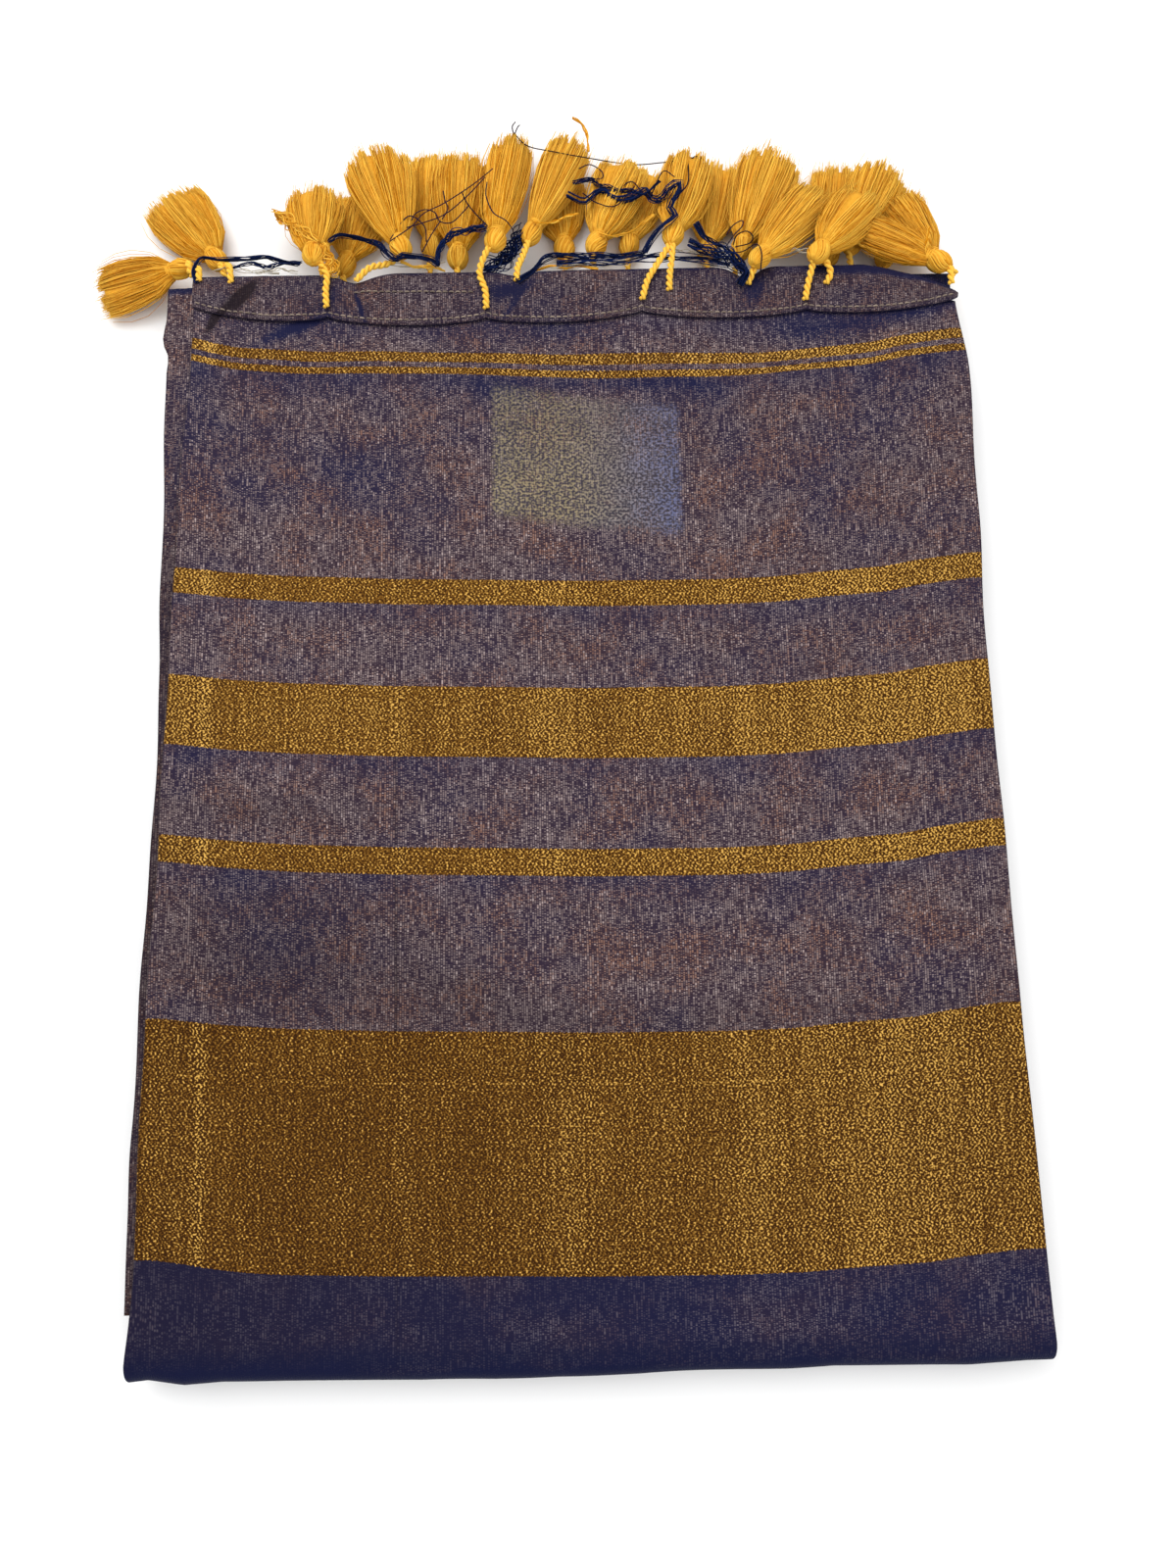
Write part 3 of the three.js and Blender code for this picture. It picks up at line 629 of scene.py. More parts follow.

# %% [markdown]
# ## The top ply
# The pallu lies on top as one ply that runs down to a round fold at the front and turns under. It is made
# as a flattened tube: each ring runs across the top, round the right edge, back underneath and round
# the left edge. The creases are listed as low ridges and troughs of uneven length, because they
# come from how the cloth was folded before and not from any force that a simulation could find.

# %% Creases and waves of the cloth
CREASES = np.array([
    # x, y, turn, half length, half width, rise
    (-112, 136, 48, 26, 11, -0.6),
    (-66, 141, 14, 34, 11, 0.5),
    (30, 140, -6, 44, 12, 0.4),
    (116, 138, 16, 26, 11, -0.5),
    (-84, 20, 86, 90, 14, 0.5),
    (62, -34, 93, 110, 16, 0.45),
    (-124, -112, 80, 46, 12, 0.5),
    (-108, -166, 8, 30, 11, 0.6),
    (10, -158, -3, 60, 12, -0.4),
    (110, -154, 16, 34, 12, 0.5),
])
FINE_CREASES = np.array([
    # the same columns, for the narrow creases that only the cloth itself has
    (-121.0, 163.0, 63, 7, 2.2, 0.5),
    (-124.6, 163.4, 63, 7, 1.4, -0.9),
    (-95.7, 161.2, 27, 11, 1.8, -0.6),
    (-93.0, 157.0, 27, 12, 2.6, 0.4),
    (-60, -20, 90, 120, 1.8, -0.30),
    (-57, -20, 90, 120, 2.4, 0.20),
    (-52, 60, 88, 40, 3.0, 0.2),
    (72, 150, -4, 26, 4.0, -0.3),
    (120, 150, 22, 16, 3.5, 0.4),
    (-129, 60, 88, 60, 2.4, 0.2),
    (20, 100, 80, 30, 5.0, 0.16),
    (96, 74, 96, 34, 5.0, -0.18),
    (-20, -130, 84, 30, 4.0, 0.15),
    (-96, -164, 24, 20, 4.0, -0.35),
    (-44, -170, -8, 26, 3.6, 0.3),
    (30, -168, 5, 30, 4.0, -0.25),
    (86, -170, 12, 24, 3.6, 0.35),
    (124, -172, 34, 14, 3.4, -0.3),
    (0, -99.6, 0, 120, 1.2, 0.08),
])
CREASES_END_AT = (146.0, 158.0)  # the broad ones: the ply is held flat under its hem


def rises(rows, x, y):
    """The height that a table of creases adds at a place."""
    total = np.zeros(np.broadcast(x, y).shape)
    for cx, cy, turn, long, wide, rise in rows:
        turn = math.radians(turn)
        lengthwise = ((x - cx) * math.cos(turn) + (y - cy) * math.sin(turn)) / long
        crosswise = ((y - cy) * math.cos(turn) - (x - cx) * math.sin(turn)) / wide
        total += rise * np.exp(-(lengthwise**2) - crosswise**2)
    return total


def ripple(seed, x, y, grain, waves=9):
    """Soft unevenness of about 1 either way: a few waves with chosen grain and random direction."""
    luck = np.random.default_rng(seed)
    total = np.zeros(np.broadcast(x, y).shape)
    for _ in range(waves):
        heading, phase = luck.uniform(0, FULL_TURN, 2)
        length = grain * luck.uniform(0.7, 1.7)
        total += np.sin(FULL_TURN * (x * math.cos(heading) + y * math.sin(heading)) / length + phase)
    return total / math.sqrt(waves)


def broad_relief(x, y):
    return rises(CREASES, x, y) * (1 - step(y, *CREASES_END_AT))


# %% [markdown]
# ## Where the stripes run
# Woven stripes are straight. They look bowed here, because the sides of the ply were pulled towards the hem
# when it was folded. So the flat map is bent and not the mesh.

# %% Where the stripes run
STRIPE_BOW = np.array([
    # x, how far the stripes have been pulled towards the hem
    (-136.0, 8.0),
    (-117.0, 5.6),
    (-94.0, 3.7),
    (-62.0, 2.2),
    (-23.0, 1.1),
    (3.0, 0.2),
    (49.0, -0.2),
    (68.0, 0.3),
    (88.0, 2.1),
    (107.0, 3.3),
    (117.0, 5.2),
    (136.0, 7.6),
])


def woven_line(x, y):
    """The flat-cloth line that a point of the ply belongs to."""
    bow = np.interp(x, *STRIPE_BOW.T)
    # The pull is weaker towards the front, but not at the left side, and strongest by the hem's left corner.
    held = 0.75 + 0.25 * step(y, -110.0, -60.0) + 0.25 * step(-x, 100.0, 130.0) * step(-y, 120.0, 150.0)
    held = held + 0.35 * step(-x, 112.0, 136.0) * step(y, 90.0, 140.0)
    wave = 0.55 * ripple(5, x, y, 46.0) * step(y, 120.0, 140.0)
    return y - bow * held * step(y, -176.0, -159.0) - wave


# %% Make the top ply
HEM_CREST = 184.6
HEM_CREST_DROP = {"from": 104.0, "over": 34.0, "by": 11.0, "curve": 1.6}
INSIDE_HEM = {"middle": 7.4, "corner": 2.2}
FOLD_WIDTH = 286.0  # a quarter of the cloth's width
EDGE_WANDER = 0.35


def corner_fall(x):
    drop = HEM_CREST_DROP
    return np.maximum(0.0, (x - drop["from"]) / drop["over"]) ** drop["curve"] * drop["by"]


def folded_edge(count):
    """A half round with a crease at its middle, where two plies meet: out across and up, as shares."""
    angle = np.pi * (np.arange(count) + 1) / (count + 1)
    crease = EDGE_CREASE["depth"] * np.exp(-((np.cos(angle) / EDGE_CREASE["width"]) ** 2))
    out = np.sin(angle) * EDGE_ROUND - crease
    return out, np.cos(angle)


def edge_shade(columns, edge, shape):
    """1 round a ring's two folded edges, where little light reaches, and 0 over its faces."""
    round_edge = np.sin(np.pi * (np.arange(edge) + 1) / (edge + 1)) ** 2
    face = np.zeros(columns)
    return np.broadcast_to(np.concatenate([face, round_edge, face, round_edge]), shape[:2])


def top_ply():
    rows, turns, columns, edge = 130, 22, 150, 7
    # The rows run from inside the hem down to the front, and the turns take them round the front fold.
    share = np.linspace(0, 1, columns)
    fall = corner_fall((2 * share - 1) * FOLD_WIDTH / 2)
    shallower = (INSIDE_HEM["middle"] - INSIDE_HEM["corner"]) * fall / HEM_CREST_DROP["by"]
    start = HEM_CREST - fall - INSIDE_HEM["middle"] + shallower
    down = np.linspace(0, 1, rows)[:, None]
    y = start + down * (NOSE["centre"] - start)
    y = np.concatenate([y, np.full((turns, columns), NOSE["centre"])])
    angle = np.concatenate([np.zeros(rows), NOSE["sweep"] * (np.arange(turns) + 1) / turns])[:, None]
    arc = NOSE["radius"] * angle
    # The side edges wander a little, as a cut of soft cloth does, and spread at the front fold.
    mid_y = y[:, columns // 2]
    ears = FRONT_EARS * step(-mid_y, 168.0, 179.0)
    left = eased(mid_y, FRONT_EDGES[:, 0], FRONT_EDGES[:, 1]) - SPREAD[0] - ears
    left += EDGE_WANDER * ripple(9, 0.0, mid_y, 60.0)
    right = eased(mid_y, FRONT_EDGES[:, 0], FRONT_EDGES[:, 2]) + SPREAD[1] + ears
    right += EDGE_WANDER * ripple(10, 0.0, mid_y, 50.0)
    inset_left, inset_right = left + EDGE_ROUND, right - EDGE_ROUND
    x = inset_left[:, None] + share * (inset_right - inset_left)[:, None]
    flat_part = (angle == 0).astype(float)
    y = y - np.interp(x, *FRONT_BULGE.T) * step(-y, 110.0, 178.0)
    relief = (broad_relief(x, y) + rises(FINE_CREASES, x, y)) * flat_part
    relief += 0.10 * ripple(2, x, y, 34.0) * (0.3 + 0.7 * flat_part)
    relief += 0.35 * ripple(3, x, arc, 60.0) * (1 - flat_part) * np.sin(angle)
    # The relief dies out at the rim, so that top and underside still meet in a rounded edge.
    relief *= np.minimum(1.0, np.minimum(share, 1 - share) * columns / 4)

    def placed(across, outward, line):
        """The points outward from the ply's middle, which runs flat and then round the front fold."""
        radius = NOSE["radius"] * (angle > 0) + outward
        height = TOP_PLY["middle"] + outward - radius + np.cos(angle) * radius
        return np.stack(np.broadcast_arrays(across, line - np.sin(angle) * radius, height), -1)

    half = TOP_PLY["half"]
    out, up = folded_edge(edge)
    rings = np.concatenate([
        placed(x, half + relief, y),
        placed(inset_right[:, None] + out, up * half, y[:, -1:]),
        placed(x, -half, y)[:, ::-1],
        placed(inset_left[:, None] - out, -up * half, y[:, :1]),
    ], 1)
    woven = woven_line(x, y) - arc
    ends = [np.repeat(woven[:, at, None], edge, 1) for at in (-1, 0)]
    flat_v = np.concatenate([woven, ends[0], woven[:, ::-1], ends[1]], 1)
    flat = np.stack([rings[:, :, 0], flat_v], -1)
    rim = edge_shade(columns, edge, rings.shape)
    # The ring starts half way round the left edge, so that its first half is the upper side.
    shift = edge // 2 + 1
    rings, flat, rim = (np.roll(table, shift, 1) for table in (rings, flat, rim))
    return make_piece("pallu_top_ply", rings, flattened_tube(rings), striped_tissue, flat=flat, shade=rim)


pallu_top_ply = top_ply()

# %% [markdown]
# ## The ply below
# The next ply sticks out on the left and stops short of the front fold, which leaves a notch at the
# corner. Its margin shows the edges of the plies under it as two low steps.

# %% Make the second ply
MARGIN_STEPS = (
    # how far in from the left edge a step lies, and its height
    (2.6, 0.45),
    (6.6, 0.40),
)
MARGIN_BUMPS = (
    # y, how far the edge bulges out there, and half the length of the bulge
    (163.0, 1.4, 5.0),
    (155.5, -0.9, 2.5),
    (60.0, 0.6, 14.0),
    (-40.0, -0.5, 18.0),
    (-120.0, 0.5, 12.0),
)


def ply_rings(y, left, right, base, wall, columns, edge, relief):
    """Rings of a flat ply with rounded side edges. relief(x, y) is added to its upper side."""
    share = np.linspace(0, 1, columns)
    share = 0.3 * share + 0.7 * share**2.5  # closer together near the left edge, where the steps are
    x = (left + EDGE_ROUND)[:, None] + share * (right - left - 2 * EDGE_ROUND)[:, None]
    lines = np.repeat(y[:, None], columns, 1)
    out, up = folded_edge(edge)
    top = np.stack([x, lines, base + wall + relief(x, lines)], -1)
    under = np.stack([x, lines, np.full_like(x, base)], -1)[:, ::-1]
    ends = lines[:, :edge]

    def end_heights(column):
        """The rounded edge runs from the top face's height there down to the base."""
        return base + (top[:, column, 2:] - base) * (1 + up) / 2

    right_edge = np.stack([(right - EDGE_ROUND)[:, None] + out, ends, end_heights(-1)], -1)
    left_edge = np.stack([(left + EDGE_ROUND)[:, None] - out, ends, end_heights(0)[:, ::-1]], -1)
    rings = np.concatenate([top, right_edge, under, left_edge], 1)
    rim = edge_shade(columns, edge, rings.shape)
    return np.roll(rings, edge // 2 + 1, 1), np.roll(rim, edge // 2 + 1, 1)


def second_ply():
    rows, columns = 110, 120
    y = np.linspace(SECOND_PLY["back"], SECOND_PLY["front"], rows)
    left = eased(y, PACK_EDGES[:, 0], PACK_EDGES[:, 1]) + 0.3 * ripple(21, 0.0, y, 55.0) - SPREAD[0]
    left -= sum(out * np.exp(-(((y - at) / long) ** 2)) for at, out, long in MARGIN_BUMPS)
    right = eased(y, PACK_EDGES[:, 0], PACK_EDGES[:, 2]) + 0.3 * ripple(22, 0.0, y, 60.0)

    def relief(x, lines):
        inward = x - left[:, None]
        fall = sum(height * (1 - step(inward, at, at + 0.7)) for at, height in MARGIN_STEPS)
        return 0.12 * ripple(23, x, lines, 40.0) - fall

    rings, rim = ply_rings(y, left, right, SECOND_PLY["base"], SECOND_PLY["wall"], columns, 5, relief)
    # The two ends are rounded too: the first and last rings close in on the ply's middle.
    middle = SECOND_PLY["base"] + SECOND_PLY["wall"] / 2
    for row, share in ((0, 0.45), (-1, 0.45), (1, 0.85), (-2, 0.85)):
        rings[row, :, 2] = middle + (rings[row, :, 2] - middle) * share
    flat = rings[:, :, :2]
    return make_piece("second_ply_layer", rings, flattened_tube(rings), plain_tissue, flat=flat, shade=rim)


second_ply_layer = second_ply()

# %% [markdown]
# ## The folded layers
# Under the two top plies lie about fifty more. They hide each other, so they are one solid whose edges
# show the folds: at the front and back, fat round noses where the four-ply band turns over, and down
# the sides the thin edges of every ply, each a little further in or out than its neighbours.

# %% Make the folded layers
LAYERS = np.array([
    # side, front and back of each layer's edge, bottom layer first
    (1.6, -182.8, 180.6),
    (0.4, -184.0, 182.2),
    (1.4, -182.9, 181.0),
    (0.3, -177.8, 182.5),
    (1.5, -177.8, 180.8),
    (0.5, -177.8, 182.3),
    (1.3, -177.8, 181.2),
])
PLIES_IN_LAYER = 4
LAYER_GROOVE = 1.1
PLY_GROOVE = 0.34
PLY_WANDER = 0.22  # how far a ply's edge wanders in and out along its length
PLY_SHIFT = (-0.1, 0.45)  # the most that a ply's edge lies out past the others, and in
PLY_LEVELS = (0.04, 0.3, 0.7, 0.96)  # where the rings of a ply's round edge lie, as shares of its height
NOSE_WAVE = {"rise": 0.22, "behind": 150.0}
PACK_CORNER = 5.0
EDGE_STRETCH = 6.0  # the cloth runs in and out of the folds, so more of it lies on the edge than its height


def pack_ring(ply, side_in, end_in, z):
    """One level of the pack's outline, from the front's middle up the right side and down the left."""
    side, front, back = LAYERS[ply // PLIES_IN_LAYER]
    front, back = front + end_in, back - end_in
    side_points = np.linspace(front + PACK_CORNER, back - PACK_CORNER, 92)
    corner = PACK_CORNER * (1 - np.sin(np.linspace(0, np.pi / 2, 8)[1:-1]))

    def half_ring(column, way):
        edge = eased(side_points, PACK_EDGES[:, 0], PACK_EDGES[:, column]) - way * (side + side_in)
        edge += way * PLY_WANDER * ripple(100 + ply, way, side_points, 48.0)
        start, end = edge[0], edge[-1]
        front_x = np.linspace(0, start - way * PACK_CORNER, 15)[:-1]
        back_x = np.linspace(end - way * PACK_CORNER, 0, 15)[1:]
        return np.concatenate([
            np.stack([front_x, np.full_like(front_x, front)], -1),
            np.stack([start - way * corner, front + corner[::-1]], -1),
            np.stack([edge, side_points], -1),
            np.stack([end - way * corner[::-1], back - corner], -1),
            np.stack([back_x, np.full_like(back_x, back)], -1),
        ])

    outline = np.concatenate([half_ring(2, 1), half_ring(1, -1)[::-1]])
    wave = NOSE_WAVE["rise"] * ripple(300 + ply // 8, outline[:, 0], 0.0, 70.0)
    outline[:, 1] += wave * (np.abs(outline[:, 1]) > NOSE_WAVE["behind"])
    return np.column_stack([outline, np.full(len(outline), z)])


def round_in(share):
    """How far a half round lies inside its widest line, as a share: 1 at its ends, 0 at its middle."""
    return 1 - math.sqrt(max(0.0, 1 - (2 * share - 1) ** 2))


def folded_layers():
    plies = len(LAYERS) * PLIES_IN_LAYER
    ply_height = STACK_HEIGHT / plies
    ply_shift = np.random.default_rng(7).uniform(*PLY_SHIFT, plies)
    rings, rim = [], []
    for ply in range(plies):
        for part in PLY_LEVELS:
            layer_in = LAYER_GROOVE * round_in((ply % PLIES_IN_LAYER + part) / PLIES_IN_LAYER)
            ply_in = PLY_GROOVE * round_in(part)
            side_in = 0.45 * layer_in + ply_in + ply_shift[ply]
            rings.append(pack_ring(ply, side_in, layer_in + 0.3 * ply_in, (ply + part) * ply_height))
            # Painted shade: darkest in the grooves between plies, palest at the middle of each ply's round
            # edge.
            rim.append(0.10 + 0.85 * abs(2 * part - 1))
    rings = np.array(rings)
    rings[0, :, 2], rings[-1, :, 2] = 0.0, STACK_HEIGHT
    outline = np.concatenate([[0.0], np.cumsum(np.linalg.norm(np.diff(rings[0][:, :2], axis=0), axis=1))])
    along_edge = np.broadcast_to(outline, rings.shape[:2])
    flat = np.stack([along_edge, rings[:, :, 2] * EDGE_STRETCH], -1)
    rim = np.repeat(rim, rings.shape[1])
    return make_piece("folded_stack", rings, flattened_tube(rings), edge_tissue, flat=flat, shade=rim)


folded_stack = folded_layers()

# %% [markdown]
# ## The turned hem
# The end of the pallu is turned over and sewn down. The tassel cords pass through it and hold it down,
# so its sewn edge comes to a small point at each of them and swings forward between. The hem is made as
# a ring of cloth in section, swept across the pallu: out over its face, round the crest and back inside.

# %% Shape of the hem
HEM_CUSPS = np.array([
    (-133.4, 173.4),
    (-85.6, 168.4),
    (-29.3, 167.0),
    (26.1, 168.6),
    (84.5, 168.0),
    (138.4, 171.4),
])
HEM = {"left": -133.6, "right": 138.6, "wall": 1.4, "base": 18.8, "sag": 3.2, "sag_round": 0.6}
HEM_DENTS = np.array([
    # x, depth, width
    (-76.0, 3.4, 7.0),
    (-18.0, 1.8, 6.0),
    (63.6, 4.2, 5.4),
])
HEM_SECTION = np.array([
    # share of the way back, how far down, and the turn of the cloth
    (0.0, 0.0, 0.0),
    (0.7, 0.0, 0.0),
    (0.86, 0.03, 12.0),
    (0.95, 0.28, 38.0),
    (1.0, 1.0, 70.0),
    (1.0, 2.6, 100.0),
])
SEWN_IN = 1.2  # the seam lies this far in from the hem's edge
HEM_PUFF = {"rise": 0.75, "round": 0.8, "held": 0.75, "near_cord": 6.0}
HEM_SEAM = {"at": SEWN_IN, "rise": -0.42, "width": 0.55}
HEM_LIP = {"at": 0.3, "rise": 0.18, "width": 0.7}
HEM_STARTS_AT = 165.5  # the line along the cloth where the hem's flat map starts
HEM_CREASES = np.array([
    # the same columns as the other creases
    (-117.5, 174.4, 60, 8, 1.8, -1.0),
    (-113.4, 174.6, 62, 8, 2.2, 0.5),
    (-74.2, 174.0, -77, 9, 1.1, -0.5),
    (-78, 172, 118, 8, 2.2, -0.55),
    (-70, 174, 100, 8, 3.0, 0.4),
    (-126, 176, 80, 7, 3.0, 0.35),
    (-92, 171, 30, 8, 2.4, 0.35),
    (-80, 168, -20, 8, 1.8, -0.3),
    (-22, 170, 40, 8, 2.0, -0.45),
    (-37, 170, -28, 8, 2.2, -0.35),
    (-14, 176, 64, 8, 2.6, 0.45),
    (10, 176, 8, 16, 3.4, 0.35),
    (33, 171, 38, 8, 2.0, -0.4),
    (19, 171, -30, 7, 2.0, -0.3),
    (50, 178, -6, 14, 3.2, 0.4),
    (62, 174, 84, 6, 2.4, -0.45),
    (78, 171, -28, 8, 2.0, -0.35),
    (91, 171, 30, 8, 2.2, -0.4),
    (104, 175, 6, 16, 3.0, 0.4),
    (122, 175, -24, 12, 2.6, -0.35),
    (132, 173, -50, 7, 2.4, 0.35),
    (-50, 177, 2, 20, 3.4, 0.4),
    (-56, 171, 4, 14, 2.0, -0.2),
])


def crest_at(x):
    dents = sum(depth * np.exp(-(((x - at) / width) ** 2)) for at, depth, width in HEM_DENTS)
    return HEM_CREST - corner_fall(x) - dents


def sewn_edge_at(x):
    cusp_x, cusp_y = HEM_CUSPS.T
    after = np.clip(np.searchsorted(cusp_x, x), 1, len(cusp_x) - 1)
    share = np.clip((x - cusp_x[after - 1]) / (cusp_x[after] - cusp_x[after - 1]), 0, 1)
    line = cusp_y[after - 1] + share * (cusp_y[after] - cusp_y[after - 1])
    return line - HEM["sag"] * np.sin(np.pi * share) ** HEM["sag_round"]


def hem_rise(x, y, back):
    """How far the hem's face stands up: puffed between the cords, pulled in along the seam."""
    to_cord = np.min(np.abs(x[..., None] - HEM_CUSPS[:, 0]), -1)
    held_down = HEM_PUFF["held"] * np.exp(-((to_cord / HEM_PUFF["near_cord"]) ** 2))
    puff = HEM_PUFF["rise"] * np.sin(np.pi * np.clip(back, 0, 1)) ** HEM_PUFF["round"] * (1 - held_down)
    from_edge = y - sewn_edge_at(x)
    seam, lip = (
        row["rise"] * np.exp(-(((from_edge - row["at"]) / row["width"]) ** 2)) for row in (HEM_SEAM, HEM_LIP)
    )
    held = step(back, 0.0, 0.12)
    small = (rises(HEM_CREASES, x, y) + 0.16 * ripple(31, x, y, 13.0)) * held
    return broad_relief(x, y) + puff + seam + lip + small * (1 - step(back, 0.9, 1.0) * 0.6)


# %% Make the hem
def turned_hem():
    columns, back_steps = 330, 44
    half = HEM["wall"] / 2
    flat_z = HEM["base"] + half
    x = np.linspace(HEM["left"], HEM["right"], columns)
    # The section is read at even steps along its own length, closer together round the crest.
    place = np.concatenate([np.linspace(0, 3, 30)[:-1], np.linspace(3, 5, back_steps - 29)])
    knots = np.arange(len(HEM_SECTION))
    back, down, turn = (np.interp(place, knots, column) for column in HEM_SECTION.T)
    back, x_grid = np.broadcast_arrays(back[None, :], x[:, None])
    edge, crest = sewn_edge_at(x_grid), crest_at(x_grid)
    y = edge + (crest - half - edge) * back
    turn = np.radians(turn)[None, :]
    rise = hem_rise(x_grid, y, back)
    middle_z = flat_z - down[None, :] + np.cos(turn) * broad_relief(x_grid, y)

    def wall(outward, extra):
        lift = outward + extra
        return np.stack([x_grid, y + lift * np.sin(turn), middle_z + np.cos(turn) * lift], -1)

    outer = wall(half, rise - broad_relief(x_grid, y))
    inner = wall(-half, 0.0)
    arc = np.linspace(0, np.pi, 7)[1:-1]
    front_y, front_z = edge[:, :1] - half * np.sin(arc), middle_z[:, :1] - half * np.cos(arc)
    front = np.stack(np.broadcast_arrays(x[:, None], front_y, front_z), -1)
    back_end = (outer[:, -1:] + inner[:, -1:]) / 2 - [0.0, 0.0, 0.4]
    rings = np.concatenate([outer, back_end, inner[:, ::-1], front], 1)
    # An even ring whose halves face each other closes at both ends of the hem.
    if rings.shape[1] % 2:
        rings = np.delete(rings, -3, 1)
    rings = np.roll(rings, len(arc) // 2, 1)
    section = np.linalg.norm(np.diff(rings[columns // 2, :, 1:], axis=0), axis=1)
    along = HEM_STARTS_AT + np.concatenate([[0.0], np.cumsum(section)])
    flat = np.stack(np.broadcast_arrays(rings[:, :, 0], along), -1)
    rim = np.zeros(rings.shape[:2])
    return make_piece("turned_hem", rings, flattened_tube(rings), hem_tissue, flat=flat, shade=rim)


turned_hem_piece = turned_hem()

# %% [markdown]
# ## Strands
# Tassels, cords, stitches and loose threads are all strands: a few sides round a row of points. One
# helper makes hundreds at a time. Fine yarn gets three sides, which smooth shading rounds off, and
# anything thick enough to see the roundness of gets five or more.

# %% Strand helpers
def strand_frames(routes):
    """The directions across and up from each point of each strand."""
    tangent = unit(np.gradient(routes, axis=1))
    overall = unit(routes[:, -1] - routes[:, 0])
    upright = np.abs(overall[:, 2]) > 0.8
    reference = np.where(upright[:, None], [0.0, 1.0, 0.0], [0.0, 0.0, 1.0])[:, None, :]
    across = unit(np.cross(tangent, reference))
    return across, np.cross(across, tangent)


def strands(routes, radii, sides):
    """Points and faces of many strands. routes is strand by point by xyz, radii strand by point."""
    routes = np.asarray(routes, float)
    radii = np.broadcast_to(np.asarray(radii, float), routes.shape[:2])
    across, up = strand_frames(routes)
    angle = np.linspace(0, FULL_TURN, sides, endpoint=False)
    ring = np.cos(angle)[:, None] * across[:, :, None] + np.sin(angle)[:, None] * up[:, :, None]
    points = routes[:, :, None] + ring * radii[:, :, None, None]
    count, length = routes.shape[:2]
    one = tube_faces(length, sides)
    size = length * sides
    quads = (one[None] + (np.arange(count) * size)[:, None, None]).reshape(-1, 4)
    first = np.arange(sides)[::-1]
    last = (length - 1) * sides + np.arange(sides)
    offsets = (np.arange(count) * size)[:, None]
    caps = np.concatenate([first + offsets, last + offsets])
    return points.reshape(-1, 3), quads.tolist() + caps.tolist()


class Bundle:
    """Several groups of strands that become one mesh, each point with a shade."""

    def __init__(self):
        self.points, self.faces, self.shades, self.size = [], [], [], 0

    def add(self, points, faces, shade):
        points = np.asarray(points).reshape(-1, 3)
        self.points.append(points)
        self.faces += [[n + self.size for n in face] for face in faces]
        self.shades.append(np.broadcast_to(shade, len(points)))
        self.size += len(points)

    def add_strands(self, routes, radii, sides, shade=0.5):
        """shade is one number, one for each strand, or one for each point of each strand."""
        points, faces = strands(routes, radii, sides)
        shade = np.asarray(shade, float)
        if shade.ndim == 1:
            shade = shade[:, None]
        shade = np.broadcast_to(shade, np.shape(routes)[:2])
        self.add(points, faces, np.repeat(shade.ravel(), sides))

    def piece(self, name, finish):
        return make_piece(name, np.concatenate(self.points), self.faces, finish,
                          shade=np.concatenate(self.shades))


# %% [markdown]
# ## Yarn and thread finishes
# Soft cotton yarn scatters light, so it is rough and takes a little sheen at grazing angles. Each strand
# carries its own shade, from the ochre of a strand that took more dye to the pale yellow of a worn one.
# On top of that, painted shade darkens the strands where they crowd at the neck, and some tassels are
# painted paler, as if more light reached them.

# %% Yarn and thread finishes
FIBRE_SCALE = 900.0  # lumps of fibre to the metre


def yarn_finish(name, dark, light):
    f = Finish(name)
    where = f.node("ShaderNodeTexCoord", out=3)
    streak = f.node("ShaderNodeTexNoise", (where, None, FIBRE_SCALE, 2.0))
    f.bump(streak, 0.4, 0.15)
    level = (streak - 0.5) * 0.5 + f.shade()
    return f.surface(base_color=f.mix(level, dark, light), roughness=0.85, specular_ior_level=0.06)


golden_yarn = yarn_finish("golden yarn", colour(0.61, 0.232, 0.005), colour(0.95, 0.570, 0.078))
navy_thread = yarn_finish("navy thread", colour(0.002, 0.004, 0.018), colour(0.007, 0.018, 0.085))
purple_thread = yarn_finish("purple thread", colour(0.010, 0.005, 0.015), colour(0.052, 0.024, 0.042))
undyed_thread = yarn_finish("undyed thread", colour(0.34, 0.29, 0.21), colour(0.66, 0.60, 0.47))
sewing_thread = yarn_finish("sewing thread", colour(0.12, 0.09, 0.075), colour(0.34, 0.27, 0.21))

# %% [markdown]
# ## The tassels
# A tassel is a hank of yarn folded over a twisted cord and bound just below the fold. The fold makes a
# smooth egg, the binding a neck, and the cut ends a skirt that opens like a brush. Each skirt here has
# 350 to 700 strands and 130 to 270 hairs, gathered a little into locks, with ragged ends and strays.

